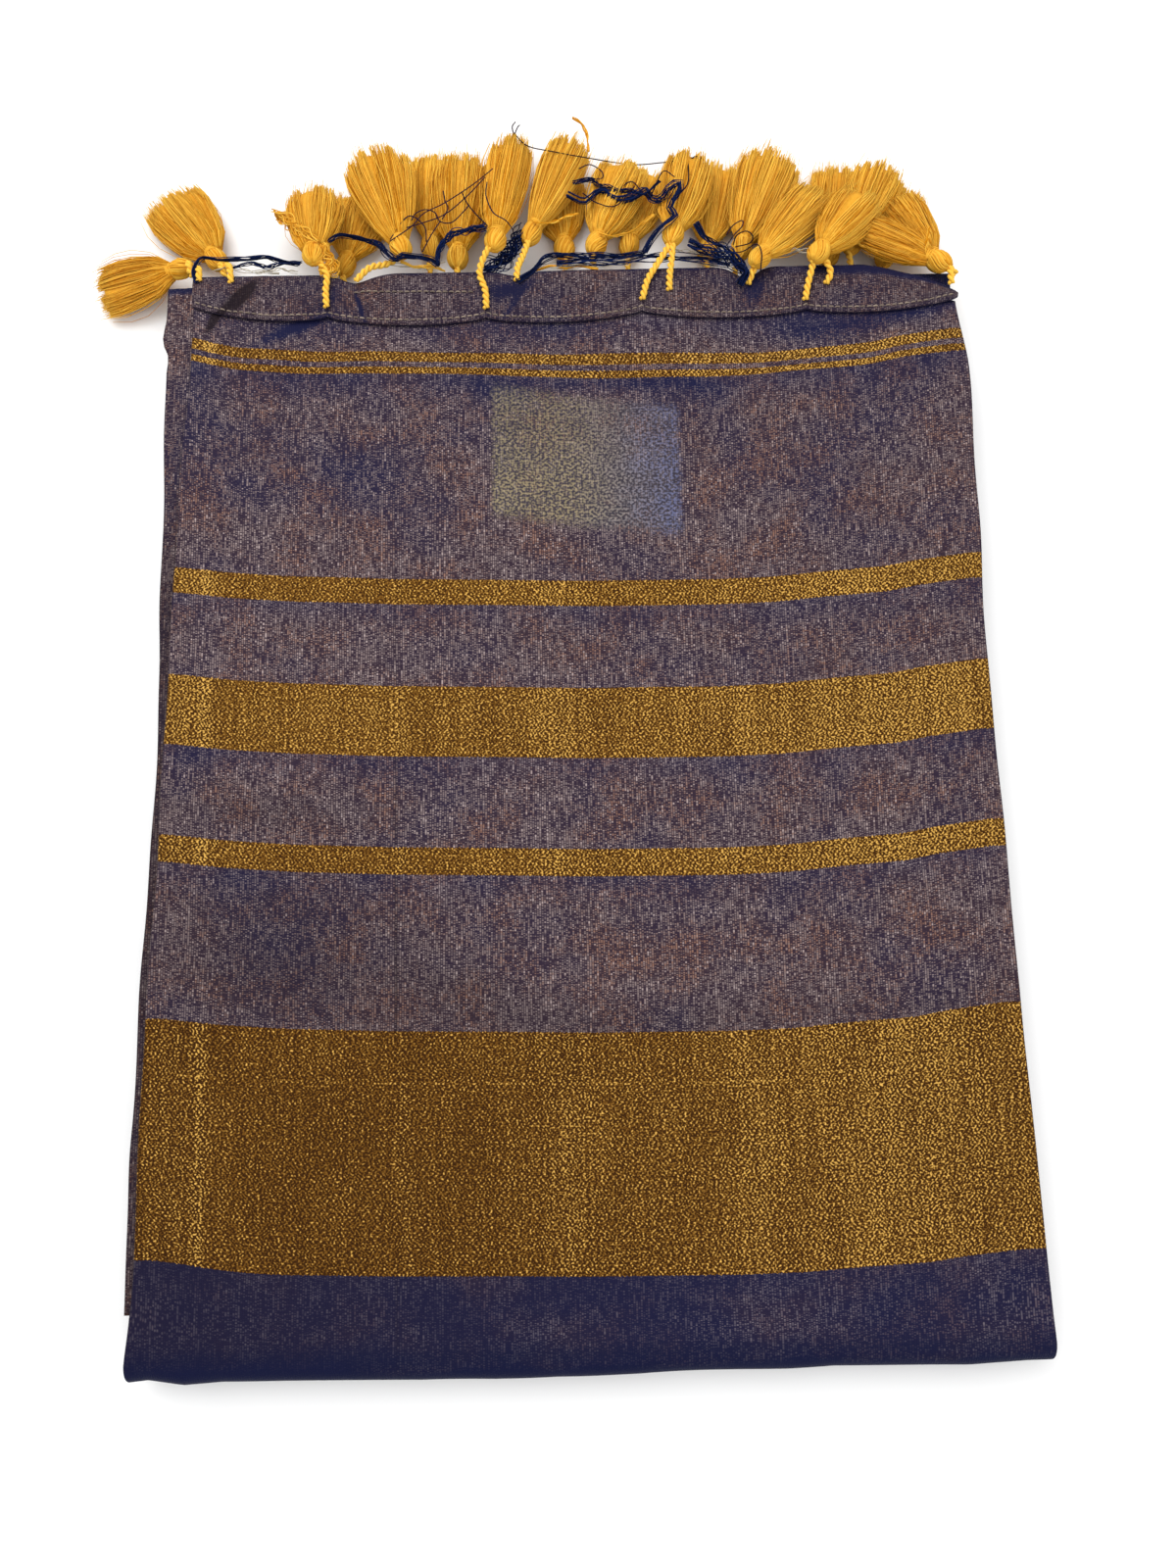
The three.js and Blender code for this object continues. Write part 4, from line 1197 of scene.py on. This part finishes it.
# %% Table of the tassels
TASSELS = {
    # name: where the cord leaves the hem, middle of the head, middle of the skirt's end, half width there,
    # how soon the skirt opens (below 1 is sooner), half width where it starts
    "d1": ((-134.8, 186, 17.4), (-141.5, 193.4, 10.5), (-172, 188.5, 3.8), 10.8, 0.40, 3.2),
    "c1": ((-123.5, 186.4, 15), (-129.5, 198.5, 7.6), (-149.5, 226, 3.3), 12.6, 0.42, 4.6),
    "d2": ((-85.2, 169.4, 21.7), (-90.4, 190.2, 22.4), (-93.2, 220.5, 9.4), 11.0, 0.60, 4.4),
    "a1": ((-82, 183.2, 5.4), (-82.5, 197.5, 4.5), (-75.5, 224, 3.4), 12.4, 0.5, 3.6),
    "d3": ((-75.4, 180.4, 21.7), (-59.5, 193.4, 20.6), (-70.5, 235, 9.8), 13.6, 0.72, 3.4),
    "a2": ((-51, 183.2, 5.4), (-51, 204.5, 4.5), (-48, 241.5, 3.2), 11.4, 0.5, 3.2),
    "b1": ((-40, 183.2, 11.4), (-40.2, 195.6, 10.8), (-37.5, 234.5, 8.5), 11.4, 0.5, 3.2),
    "d4": ((-29.2, 168.6, 21.7), (-25.6, 194.4, 22.4), (-19.6, 241.8, 9.4), 8.2, 0.42, 3.0),
    "c2": ((-17.8, 180.6, 21.7), (-13, 201.4, 15.4), (2, 241, 9), 9, 0.7, 2.6),
    "a3": ((-1.5, 183.2, 5.4), (-1.2, 202.6, 4.5), (-3, 230, 3.1), 11, 0.5, 3.2),
    "b2": ((9.5, 183.2, 11.4), (10.6, 199.8, 10.8), (22, 231, 8.7), 10.6, 0.5, 3.2),
    "a4": ((22, 183.2, 5.4), (23, 203.5, 4.5), (29.5, 234, 3.1), 11, 0.5, 3.2),
    "d5": ((26.3, 170.2, 21.7), (38, 196.5, 20.6), (46.5, 233, 9.4), 10, 0.42, 3.4),
    "a5": ((52, 183.2, 5.4), (52, 201, 4.5), (57.5, 235.5, 3.1), 11.4, 0.5, 3.2),
    "b3": ((60, 183.4, 12.4), (63.5, 196.5, 11.6), (77.0, 233, 9), 12.4, 0.5, 3.4),
    "d6": ((64, 176.6, 21.7), (68, 184.2, 24.6), (91.2, 216.8, 11), 9, 0.5, 3.0),
    "d7": ((84.3, 169.2, 21.7), (88.8, 185.6, 24.8), (108, 211.5, 15.6), 9.6, 0.5, 3.4),
    "a6": ((97, 183.2, 5.4), (97.5, 198.5, 4.5), (103.5, 233, 3.1), 11, 0.55, 3.2),
    "b4": ((103.5, 183.4, 11.4), (104.5, 198.5, 10.8), (117.5, 228.5, 8.0), 10.2, 0.55, 3.2),
    "a7": ((117, 183.2, 5.4), (118, 197, 4.5), (127, 224, 3.2), 10, 0.55, 3.2),
    "c3": ((140, 182.4, 15.4), (134.5, 190, 11.6), (122, 214, 8.8), 9.6, 0.5, 3.2),
    "d8": ((136, 174.8, 21.7), (132.5, 184, 20.8), (107.5, 200.5, 15.4), 6.8, 0.40, 3.2),
}
HEAD = {"radius": 3.6, "half": 4.8}
HEAD_PROFILE = np.array([
    # share of the half length from the middle, towards the skirt, and share of the radius
    (-1.0, 0.16),
    (-0.9, 0.42),
    (-0.65, 0.74),
    (-0.3, 0.96),
    (0.05, 1.0),
    (0.4, 0.92),
    (0.75, 0.72),
    (1.0, 0.66),
])
YARN = {"radius": 0.23, "per_width": 52, "stations": 6, "wild": 0.4, "longer": 0.0}
HAIR = {"radius": 0.10, "per_width": 20, "stations": 5, "wild": 1.6, "longer": 0.08}
HIDDEN_SHARE = 0.75  # a tassel at the back of the row is mostly hidden, and has fewer strands
YARN_SHADE = (0.50, 0.27)  # the middle and the spread of the strands' shades
CORE_SHADE = {"head": 0.40, "skirt": 0.42}  # what shows between the strands
NECK_PAINTED_SHADE, SHADE_AT_TIP = -0.14, 0.35  # painted shade at the neck, where the strands crowd, and paler where they fray
SKIRT = {"starts": 0.72, "flatness": 0.62, "neck_lift": 2.2}
BODY = {"neck": 0.88, "side": 0.86, "neck_lift": 1.9, "lift": 0.84, "long": 0.95}  # inside the strands
STRAY_SHARE = 0.05
DOME = 0.07  # how much shorter the sides of a skirt are cut than its middle, as a share
NECK_AT = 0.85  # where the cord's end is bound in, as a share of half the head
FLOOR_CLEAR = 0.45  # the lowest a strand's middle can lie
PAINTED_LIGHT_LIFT = {
    # painted light: tassels whose yarn is painted paler, as if more light reached them, and by how much
    "a1": 0.14, "a4": 0.24, "a5": 0.26, "a6": 0.16, "b2": 0.18, "b3": 0.17, "b4": 0.14, "c2": 0.12,
    "d2": 0.06, "d5": 0.18, "d6": 0.15, "d7": 0.08,
}
CORD = {"ply": 0.66, "offset": 0.62, "pitch": 4.6}


# %% Parts of a tassel
def tassel_frame(head, tip):
    axis = unit(np.subtract(tip, head).astype(float))
    across = unit(np.cross(axis, [0.0, 0.0, 1.0]))
    return axis, across, np.cross(across, axis)


def add_head(bundle, head, axis, across, up, luck):
    """The fold of the hank: strands that run over it from the cord to the neck, winding a little."""
    around, along = 20, 11
    reach = np.linspace(-1, 1, along)
    profile = HEAD["radius"] * np.interp(reach, *HEAD_PROFILE.T)
    centre = np.asarray(head) + axis * (reach * HEAD["half"])[:, None]

    def on_head(angle, radius):
        ring = np.cos(angle)[..., None] * across + np.sin(angle)[..., None] * up
        return centre + ring * radius[..., None]

    core = on_head(np.linspace(0, FULL_TURN, around, endpoint=False)[:, None] + 0 * reach, profile - 0.3)
    core = core.transpose(1, 0, 2)
    bundle.add(core, closed_tube_faces(along, around), CORE_SHADE["head"])
    count = 36
    start = np.linspace(0, FULL_TURN, count, endpoint=False) + luck.normal(0, 0.05, count)
    twist = luck.uniform(-0.9, 0.9) + luck.normal(0, 0.10, count)
    angle = start[:, None] + twist[:, None] * reach
    bulk = 1 + 0.05 * np.sin(2 * angle + luck.uniform(0, 6))
    radius = (profile - 0.12) * bulk + luck.normal(0, 0.07, count)[:, None]
    bundle.add_strands(on_head(angle, radius), 0.40, 4, np.clip(luck.normal(0.55, 0.18, count), 0, 1))


def add_binding(bundle, head, axis, across, up, luck):
    """A few turns of yarn round the neck, where the skirt starts."""
    for reach in (0.62, 0.80, 0.97):
        angle = np.linspace(0, FULL_TURN * 1.04, 26) + luck.uniform(0, 6)
        radius = HEAD["radius"] * np.interp(reach, *HEAD_PROFILE.T) + 0.12
        lean = 0.35 * np.sin(angle + luck.uniform(0, 6))
        centre = np.asarray(head) + axis * (reach * HEAD["half"] + lean)[:, None]
        ring = np.cos(angle)[:, None] * across + np.sin(angle)[:, None] * up
        bundle.add_strands([centre + ring * radius], 0.36, 5, 0.5)


def add_skirt(bundle, name, luck):
    """A full body of yarn and, all over it, separate strands that end unevenly."""
    _, head, tip, half, opening, base = TASSELS[name]
    head, tip = np.asarray(head, float), np.asarray(tip, float)
    axis, across, up = tassel_frame(head, tip)
    length = np.linalg.norm(tip - head)
    start = HEAD["half"] * SKIRT["starts"]
    thick = min(SKIRT["flatness"] * half, tip[2] - 0.5)

    def placed(side, lift, along):
        routes = head + along[..., None] * axis + side[..., None] * across + lift[..., None] * up
        routes[..., 2] = np.maximum(routes[..., 2], FLOOR_CLEAR)
        return routes

    # The body: a fluted bell, a little inside the strands and a little shorter.
    t = np.linspace(0, 1, 12)
    opened = t**opening * (1 - 0.22 * step(t, 0.8, 1.0))
    angle = np.linspace(0, FULL_TURN, 40, endpoint=False)
    flute = 1 + 0.05 * np.sin(7 * angle + luck.uniform(0, 6)) + 0.04 * np.sin(11 * angle + luck.uniform(0, 6))
    neck, neck_lift = BODY["neck"] * base, BODY["neck_lift"]
    body_side = (neck + (BODY["side"] * half - neck) * opened)[:, None] * (flute * np.cos(angle))
    body_lift = (neck_lift + (BODY["lift"] * thick - neck_lift) * opened)[:, None] * (flute * np.sin(angle))
    dome = 1 - DOME * np.cos(angle) ** 2
    body_along = start + t[:, None] * (length * BODY["long"] * dome - start)
    body = placed(body_side, body_lift, body_along)
    bundle.add(body, closed_tube_faces(len(t), len(angle)), CORE_SHADE["skirt"])

    def brush(yarn):
        count = int(yarn["per_width"] * half * (HIDDEN_SHARE if name.startswith("a") else 1))
        reach = np.sqrt(luck.uniform(0.35, 1.05, count))
        turn = luck.uniform(0, FULL_TURN, count)
        # Towards their ends the strands lean to the nearest of a few locks.
        locks = luck.uniform(0, FULL_TURN, max(7, int(half * 1.5)))
        swing = (turn[:, None] - locks + np.pi) % FULL_TURN - np.pi
        gathered = 0.5 * np.take_along_axis(swing, np.argmin(np.abs(swing), 1)[:, None], 1)
        t = np.linspace(0, 1, yarn["stations"])
        opened = t**opening
        # The ends are cut a little round, and a few strands stray from the rest.
        cut = 1 - DOME * (reach * np.cos(turn)) ** 2 + luck.normal(0, 0.017, count)
        cut += yarn["longer"] * luck.uniform(0, 1, count)
        stray = luck.uniform(0, 1, count) < STRAY_SHARE
        along = start + t * (length * (cut + stray * luck.uniform(0.0, 0.05, count))[:, None] - start)
        bow = luck.normal(0, yarn["wild"], (count, 2)) + stray[:, None] * luck.normal(0, 1.4, (count, 2))
        curl = np.sin(np.pi * t) * 0.8 + 0.6 * t**2
        turned_in = turn[:, None] - gathered * t
        out = reach[:, None] * (1 - 0.10 * step(t, 0.75, 1.0))
        side_at = out * np.cos(turned_in) * (base + (half - base) * opened) + bow[:, :1] * curl
        lift_half = SKIRT["neck_lift"] + (thick - SKIRT["neck_lift"]) * opened
        lift_at = out * np.sin(turned_in) * lift_half + bow[:, 1:] * curl
        phase, rate = luck.uniform(0, 6, count)[:, None], luck.uniform(9, 16, count)[:, None]
        side_at += 0.16 * np.sin(phase + t * rate)
        thinning = np.interp(t, [0, 0.8, 1], [1, 1, 0.7])
        radii = yarn["radius"] * luck.uniform(0.8, 1.2, count)[:, None] * thinning
        shade = np.clip(luck.normal(*YARN_SHADE, count), 0, 1)[:, None] + PAINTED_LIGHT_LIFT.get(name, 0.0)
        shade = shade + NECK_PAINTED_SHADE * (1 - step(t, 0.0, 0.5)) + SHADE_AT_TIP * step(t, 0.75, 1.0)
        bundle.add_strands(placed(side_at, lift_at, along), radii, 3, shade)

    brush(YARN)
    brush(HAIR)


def add_twisted_cord(bundle, route):
    """Two plies wound round each other along a route."""
    length = np.linalg.norm(np.diff(route, axis=0), axis=1).sum()
    count = max(14, int(length / 0.45))
    centre = smooth_route(route, count)
    across, up = (frame[0] for frame in strand_frames(centre[None]))
    turn = FULL_TURN * np.linspace(0, length / CORD["pitch"], count)
    plies = [centre + CORD["offset"] * (np.cos(turn + start)[:, None] * across
                                        + np.sin(turn + start)[:, None] * up) for start in (0, np.pi)]
    bundle.add_strands(plies, CORD["ply"], 6, 0.9)


# %% Cords that take a longer way, and second cords
CORD_ROUTES = {
    # name: the points of the cord between the hem and the head
    "d2": [(-85.6, 170.5, 21.5), (-85.9, 176.5, 21.8), (-85.6, 182.5, 22.2), (-88.6, 187.6, 22.6)],
    "d3": [(-75.3, 180.4, 21.4), (-70.5, 185.4, 21.2), (-65.4, 188.0, 19.0), (-60.8, 190.0, 19.4)],
    "d4": [(-29.1, 168.9, 21.5), (-29.4, 175.5, 21.8), (-31.3, 182.4, 22.4), (-28.4, 190.4, 23.0)],
    "c2": [(-18.2, 179.6, 21.3), (-17.9, 184.2, 21.2), (-16.0, 190.5, 19.2), (-14.2, 197.4, 17.0)],
    "d5": [(26.2, 171.2, 21.5), (28.2, 178.2, 21.9), (32.0, 184.6, 22.0), (36.2, 191.6, 21.4)],
    "d6": [(63.9, 176.2, 21.6), (65.4, 179.6, 23.2), (66.6, 182.0, 24.2)],
    "d7": [(83.9, 169.8, 21.5), (84.9, 175.0, 22.2), (86.6, 181.4, 24.0)],
}
SECOND_CORDS = {
    "d5": [(35.9, 174.6, 21.5), (36.1, 179.6, 21.9), (37.0, 186.2, 22.0), (37.7, 192.6, 21.4)],
    "d7": [(91.6, 175.9, 21.5), (93.2, 179.6, 22.4), (90.6, 183.4, 24.2)],
    "d1": [(-131.2, 181.8, 20.9), (-131.6, 186.4, 20.6), (-134.8, 190.0, 15.0), (-138.4, 192.0, 11.8)],
    "c1": [(-119.8, 181.0, 21.0), (-120.6, 186.8, 20.6), (-123.6, 192.0, 14.0), (-127.2, 195.6, 9.6)],
}


# %% Make the tassels
def make_tassel(name, seed):
    luck = np.random.default_rng(seed)
    root, head, tip = (np.asarray(place, float) for place in TASSELS[name][:3])
    axis, across, up = tassel_frame(head, tip)
    bundle = Bundle()
    add_skirt(bundle, name, luck)
    add_head(bundle, head, axis, across, up, luck)
    add_binding(bundle, head, axis, across, up, luck)
    neck = head - axis * HEAD["half"] * NECK_AT
    bend = root + 0.55 * (neck - root)
    bend[2] = max(root[2], neck[2]) + 0.2
    add_twisted_cord(bundle, [*CORD_ROUTES.get(name, [root, bend]), neck])
    if name in SECOND_CORDS:
        add_twisted_cord(bundle, [*SECOND_CORDS[name], neck])
    piece = bundle.piece(f"yarn_tassel_{name}", golden_yarn)
    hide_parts(f"tassel_{name}")
    return piece


tassels = [make_tassel(name, 500 + n) for n, name in enumerate(TASSELS)]

# %% [markdown]
# ## Stitches
# The hem is sewn with a running stitch in a pale thread. Each stitch is a short strand that dives into the
# cloth at both ends, and the seam it pulls is already in the hem's own shape.

# %% Sew the hem
STITCH = {"long": 1.7, "gap": 0.55, "radius": 0.27, "rise": 0.30}
SECOND_SEAM = {"x": (-76.0, -32.0), "y": (176.2, 175.4)}


def hem_top(x, y):
    """The height of the hem's face."""
    back = (y - sewn_edge_at(x)) / np.maximum(crest_at(x) - HEM["wall"] / 2 - sewn_edge_at(x), 1.0)
    drop = np.interp(back, HEM_SECTION[:5, 0], HEM_SECTION[:5, 1])
    return HEM["base"] + HEM["wall"] - drop + hem_rise(x, y, back)


def stitch_routes(x_start, x_end, line):
    """Short strands that stand a little out of the cloth at their middle and dive in at their ends."""
    starts = np.arange(x_start, x_end - STITCH["long"], STITCH["long"] + STITCH["gap"])
    share = np.linspace(0, 1, 7)
    x = starts[:, None] + share * STITCH["long"]
    y = line(x)
    z = hem_top(x, y) + STITCH["rise"] - 2 * STITCH["rise"] * np.abs(2 * share - 1) ** 4
    return np.stack([x, y, z], -1)


def sew_hem():
    luck = np.random.default_rng(81)
    bundle = Bundle()
    along_edge = stitch_routes(HEM["left"] + 1, HEM["right"] - 1, lambda x: sewn_edge_at(x) + SEWN_IN)
    bundle.add_strands(along_edge, STITCH["radius"], 5, luck.uniform(0.2, 1, len(along_edge)))
    inner = stitch_routes(*SECOND_SEAM["x"], lambda x: np.interp(x, SECOND_SEAM["x"], SECOND_SEAM["y"]))
    bundle.add_strands(inner, STITCH["radius"], 5, luck.uniform(0.1, 0.8, len(inner)))
    return bundle.piece("hem_stitches", sewing_thread)


hem_stitches = sew_hem()

# %% [markdown]
# ## Loose warp ends
# The warp ends that were cut when the cloth left the loom trail out beyond the hem. The navy ones run in
# slack bundles between the tassels, and a few finer threads have worked loose and loop over the skirts.
# Undyed threads lie along the hem, and here and there a yarn or a lock has slipped out of its tassel.

# %% Table of the loose threads
WARP_BUNDLES = (
    # route, number of threads, how far they spread
    ([(-132, 181.1, 20.8), (-133.4, 185.4, 21), (-132.5, 190.3, 20), (-131.1, 193.8, 17),
      (-125.7, 193.8, 15), (-115, 195, 14), (-110, 196, 13), (-105, 193.7, 14),
      (-96, 188, 20)], 7, 0.7),
    ([(-120.7, 189.3, 17), (-114.7, 192.4, 15), (-109.3, 191.4, 14), (-102.4, 191.5, 16),
      (-95.3, 188.7, 20)], 5, 0.6),
    ([(-84.4, 193.9, 24), (-81.4, 197.5, 22), (-76.9, 199.7, 18), (-72.2, 199.1, 17),
      (-67.4, 195.1, 20), (-61.4, 186.5, 24), (-57.8, 187.3, 25), (-53, 190.2, 20),
      (-48.6, 187.9, 21), (-46.2, 185.9, 21)], 9, 0.8),
    ([(-46.2, 185.9, 21), (-46.5, 189.7, 21), (-43.4, 196.2, 21), (-37.6, 198.5, 22),
      (-28.8, 196.9, 26.6)], 10, 1.0),
    ([(0.4, 216.4, 16), (6.4, 213.5, 16), (10.8, 218.1, 15), (14.1, 218.8, 15),
      (17.6, 215.5, 15), (23, 215.8, 15), (29.2, 219.3, 15), (31.8, 214.5, 16),
      (34.4, 211.6, 20), (37.3, 213.3, 24), (40.8, 213.6, 25), (40.3, 210.1, 25),
      (37.1, 205.1, 24), (38.9, 200.6, 25), (35, 197.6, 25), (31, 195.4, 21),
      (27.7, 190, 20)], 9, 1.0),
    ([(2.6, 221.8, 15), (8.8, 224, 14), (12.2, 221, 15), (17, 219, 15.2),
      (22, 218.4, 15), (28, 216.6, 15.6), (34, 218.6, 20)], 6, 0.8),
    ([(-18, 178.8, 21.4), (-12.4, 183.9, 20), (-6.7, 191.6, 17), (6.7, 192.6, 15),
      (20.2, 192.3, 15), (27.8, 190.7, 19)], 8, 0.8),
    ([(-4, 187.4, 18.6), (8, 188.6, 18.4), (20, 188.4, 18.4), (32, 188.8, 19),
      (46, 188, 19.4), (58, 184.6, 20.6)], 7, 1.1),
    ([(42.9, 190.8, 24), (50.3, 189.3, 22), (57, 187.6, 21), (59.9, 183.8, 22),
      (62.9, 179, 24), (61, 175.7, 21.6)], 12, 1.3),
    ([(46, 200, 22), (50, 195, 20), (56, 191, 20), (61, 185, 22),
      (63.6, 178.4, 22.6)], 8, 0.9),
    # a thick tuft of navy thread behind the cords between d4 and c2: the gap there is partly navy thread and
    # partly shadow, so this dark tuft also stands in for painted shade
    ([(-15.4, 204, 14), (-17.6, 199.5, 15), (-20.8, 194.5, 15.6), (-24.8, 190, 16.4),
      (-30, 186, 17.6)], 20, 2.2),
)
FINE_THREADS = (
    [(-62.8, 193.8, 24), (-55.5, 200.8, 22), (-51.6, 207.1, 20), (-44.6, 211.6, 19),
     (-38.3, 215.8, 19), (-32.1, 219.6, 20), (-26.1, 221.6, 24)],
    [(-55.7, 203.8, 21), (-54.4, 207.2, 20), (-51, 209.4, 19), (-47.5, 208.1, 19),
     (-45.7, 204.6, 19), (-41.4, 203.4, 20), (-37.5, 207.2, 20), (-35, 210.3, 20)],
    [(-37.9, 216.2, 19), (-35.7, 210.7, 20), (-32.4, 205.6, 21), (-28.1, 197.1, 27)],
    [(-45.7, 204.6, 19), (-48.8, 198.5, 20), (-51.9, 192.1, 20)],
    [(-44.6, 216.7, 19), (-43.9, 212.8, 19), (-42.9, 209.6, 19), (-45, 205.4, 19)],
    [(-28.1, 214.7, 26), (-28.3, 207.9, 28), (-25.8, 200.7, 29), (-21.5, 198.2, 28),
     (-19, 197.1, 24)],
    [(-19.2, 244.6, 13), (-14, 237.4, 15), (-4.3, 234, 16), (7.5, 232.1, 15),
     (24.3, 232, 11), (35.4, 231, 13), (45.1, 231.3, 14), (48.3, 232, 15),
     (51.2, 230.7, 14)],
    [(45.1, 231.3, 14), (43.9, 216.2, 22), (39.8, 207.9, 26)],
    [(-18.5, 241.4, 13), (-19.6, 246.7, 13), (-18.4, 249, 13)],
    [(-18.9, 243.4, 13), (-17.6, 246.4, 13.4), (-16.8, 247.6, 13)],
    [(57.4, 197.7, 18), (59.7, 200.1, 20), (62.7, 200.6, 22), (62.6, 198.3, 22),
     (59.9, 196.3, 20), (57.6, 193.8, 18)],
    [(59.4, 192.4, 20), (60.7, 194.9, 22), (63.9, 195, 24), (65.9, 193, 24),
     (65.1, 191.7, 22), (60.1, 191.6, 20)],
    [(55.1, 190.2, 20), (61.8, 188.3, 22), (66.1, 186.5, 29), (67.8, 182.8, 29.6),
     (67.6, 177.7, 27)],
    [(2.6, 221.8, 15), (8.8, 224, 14), (13.1, 224.3, 14), (13.2, 227.1, 14),
     (8.9, 230, 14), (4.9, 227.7, 15)],
    [(-61, 200, 21), (-52, 203.4, 20), (-44, 207.4, 19), (-36, 213.6, 20),
     (-29, 219, 23)],
    [(-63, 196, 22), (-57, 205.4, 21), (-51.4, 202.4, 20), (-50.4, 196, 20)],
    [(18, 217, 15.4), (24, 222, 15), (30, 215, 16), (35, 222, 20),
     (39, 217, 24)],
    [(6, 217, 16), (11, 213, 16), (18, 212, 15.6), (25, 219.6, 15.6)],
)
UNDYED_THREADS = (
    [(-128, 187.6, 18), (-122, 190.6, 16), (-114, 189.2, 15), (-104, 187.2, 16)],
    [(-112, 186.4, 18), (-104, 189, 16), (-97, 186.6, 18)],
    [(-70, 186, 20), (-62, 188.6, 18), (-52, 187.4, 18), (-44, 190, 17)],
    [(-12, 187.8, 17), (-2, 190.2, 15), (10, 189.8, 14), (24, 190.8, 16)],
    [(-6, 186.4, 18), (8, 187.4, 17), (22, 186.8, 18)],
    [(34, 188.8, 18), (44, 187.6, 18), (54, 185.6, 19), (60, 183, 20)],
    [(36, 192.4, 19), (46, 190.4, 19), (56, 187.2, 20)],
    [(74, 188, 20), (80, 190.4, 19), (88, 189, 20)],
)
STRAY_YARNS = (
    [(-12.4, 204, 19.6), (-9.3, 202.4, 20), (-4.4, 203.7, 19), (-0.1, 206.3, 18), (4.2, 208.1, 17)],
    [(8.4, 236, 13), (7.8, 243.3, 14), (5.7, 246.6, 15), (2.8, 248.4, 15)],
    [(31.6, 205, 20), (24, 201, 17), (17, 199.6, 16), (12, 201.6, 15)],
    [(127.4, 186.4, 21.6), (128.2, 190, 22.6), (128.9, 195.6, 23)],
    [(112, 190, 17), (106, 193.6, 17), (102, 197, 17)],
    [(-13, 184.8, 18), (-7, 187.2, 17.4), (-1, 186.6, 17.4), (5, 187, 17.4), (11, 185.8, 17.4)],
    [(-60, 189, 19), (-54, 187.2, 18.6), (-49, 187.6, 18), (-44, 185.6, 18)],
)
STRAY_LOCKS = (
    [(-88.4, 193, 23), (-93.4, 198.4, 22), (-98.4, 204.5, 19), (-103.4, 210, 15), (-106.6, 213.6, 12.5)],
    [(-86.6, 193.4, 23), (-84.6, 188.6, 21.6), (-84, 185, 21.4), (-88.4, 184.2, 21.2)],
)


# %% Make the loose threads
def add_bundle(bundle, route, count, spread, luck, radius, stations):
    """Threads that run slackly beside each other along one route."""
    centre = smooth_route(route, stations)
    across, up = (frame[0] for frame in strand_frames(centre[None]))
    t = np.linspace(0, 1, stations)
    routes = []
    for _ in range(count):
        reach = spread * math.sqrt(luck.uniform(0.02, 1))
        start, rate, drift = luck.uniform(0, FULL_TURN), luck.uniform(-3.5, 3.5), luck.uniform(0.4, 1.6)
        turn = start + rate * t
        loose = reach * (1 + 0.6 * np.sin(drift * FULL_TURN * t + start))
        stray = 0.8 * spread * np.sin(np.pi * t) * np.sin(luck.uniform(1.5, 4) * FULL_TURN * t + 2 * start)
        side, lift = loose * np.cos(turn) + stray, loose * np.sin(turn)
        routes.append(centre + side[:, None] * across + lift[:, None] * up)
    bundle.add_strands(routes, radius, 4, luck.uniform(0, 1, count))


def loose_threads():
    luck = np.random.default_rng(90)
    navy, fine, pale, yarn = Bundle(), Bundle(), Bundle(), Bundle()
    for route, count, spread in WARP_BUNDLES:
        add_bundle(navy, route, int(count * 1.5), spread, luck, radius=0.19, stations=36)
    for route in FINE_THREADS:
        fine.add_strands([smooth_route(route, 40)], 0.24, 4, luck.uniform(0.0, 0.6))
    for route in UNDYED_THREADS:
        add_bundle(pale, route, 3, 0.7, luck, radius=0.14, stations=30)
    for route in STRAY_YARNS:
        add_bundle(yarn, route, 4, 0.4, luck, radius=0.24, stations=20)
    for route in STRAY_LOCKS:
        add_bundle(yarn, route, 34, 1.5, luck, radius=0.24, stations=20)
    return (
        navy.piece("warp_end_bundles", navy_thread),
        fine.piece("loose_fine_threads", purple_thread),
        pale.piece("undyed_threads", undyed_thread),
        yarn.piece("stray_yarns", golden_yarn),
    )


loose = loose_threads()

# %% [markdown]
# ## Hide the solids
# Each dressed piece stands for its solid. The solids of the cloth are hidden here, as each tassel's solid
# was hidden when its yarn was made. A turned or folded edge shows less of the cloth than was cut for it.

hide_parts("pallu_front_ply")
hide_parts("second_ply")
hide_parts("folded_layers")
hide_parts("pallu_hem")
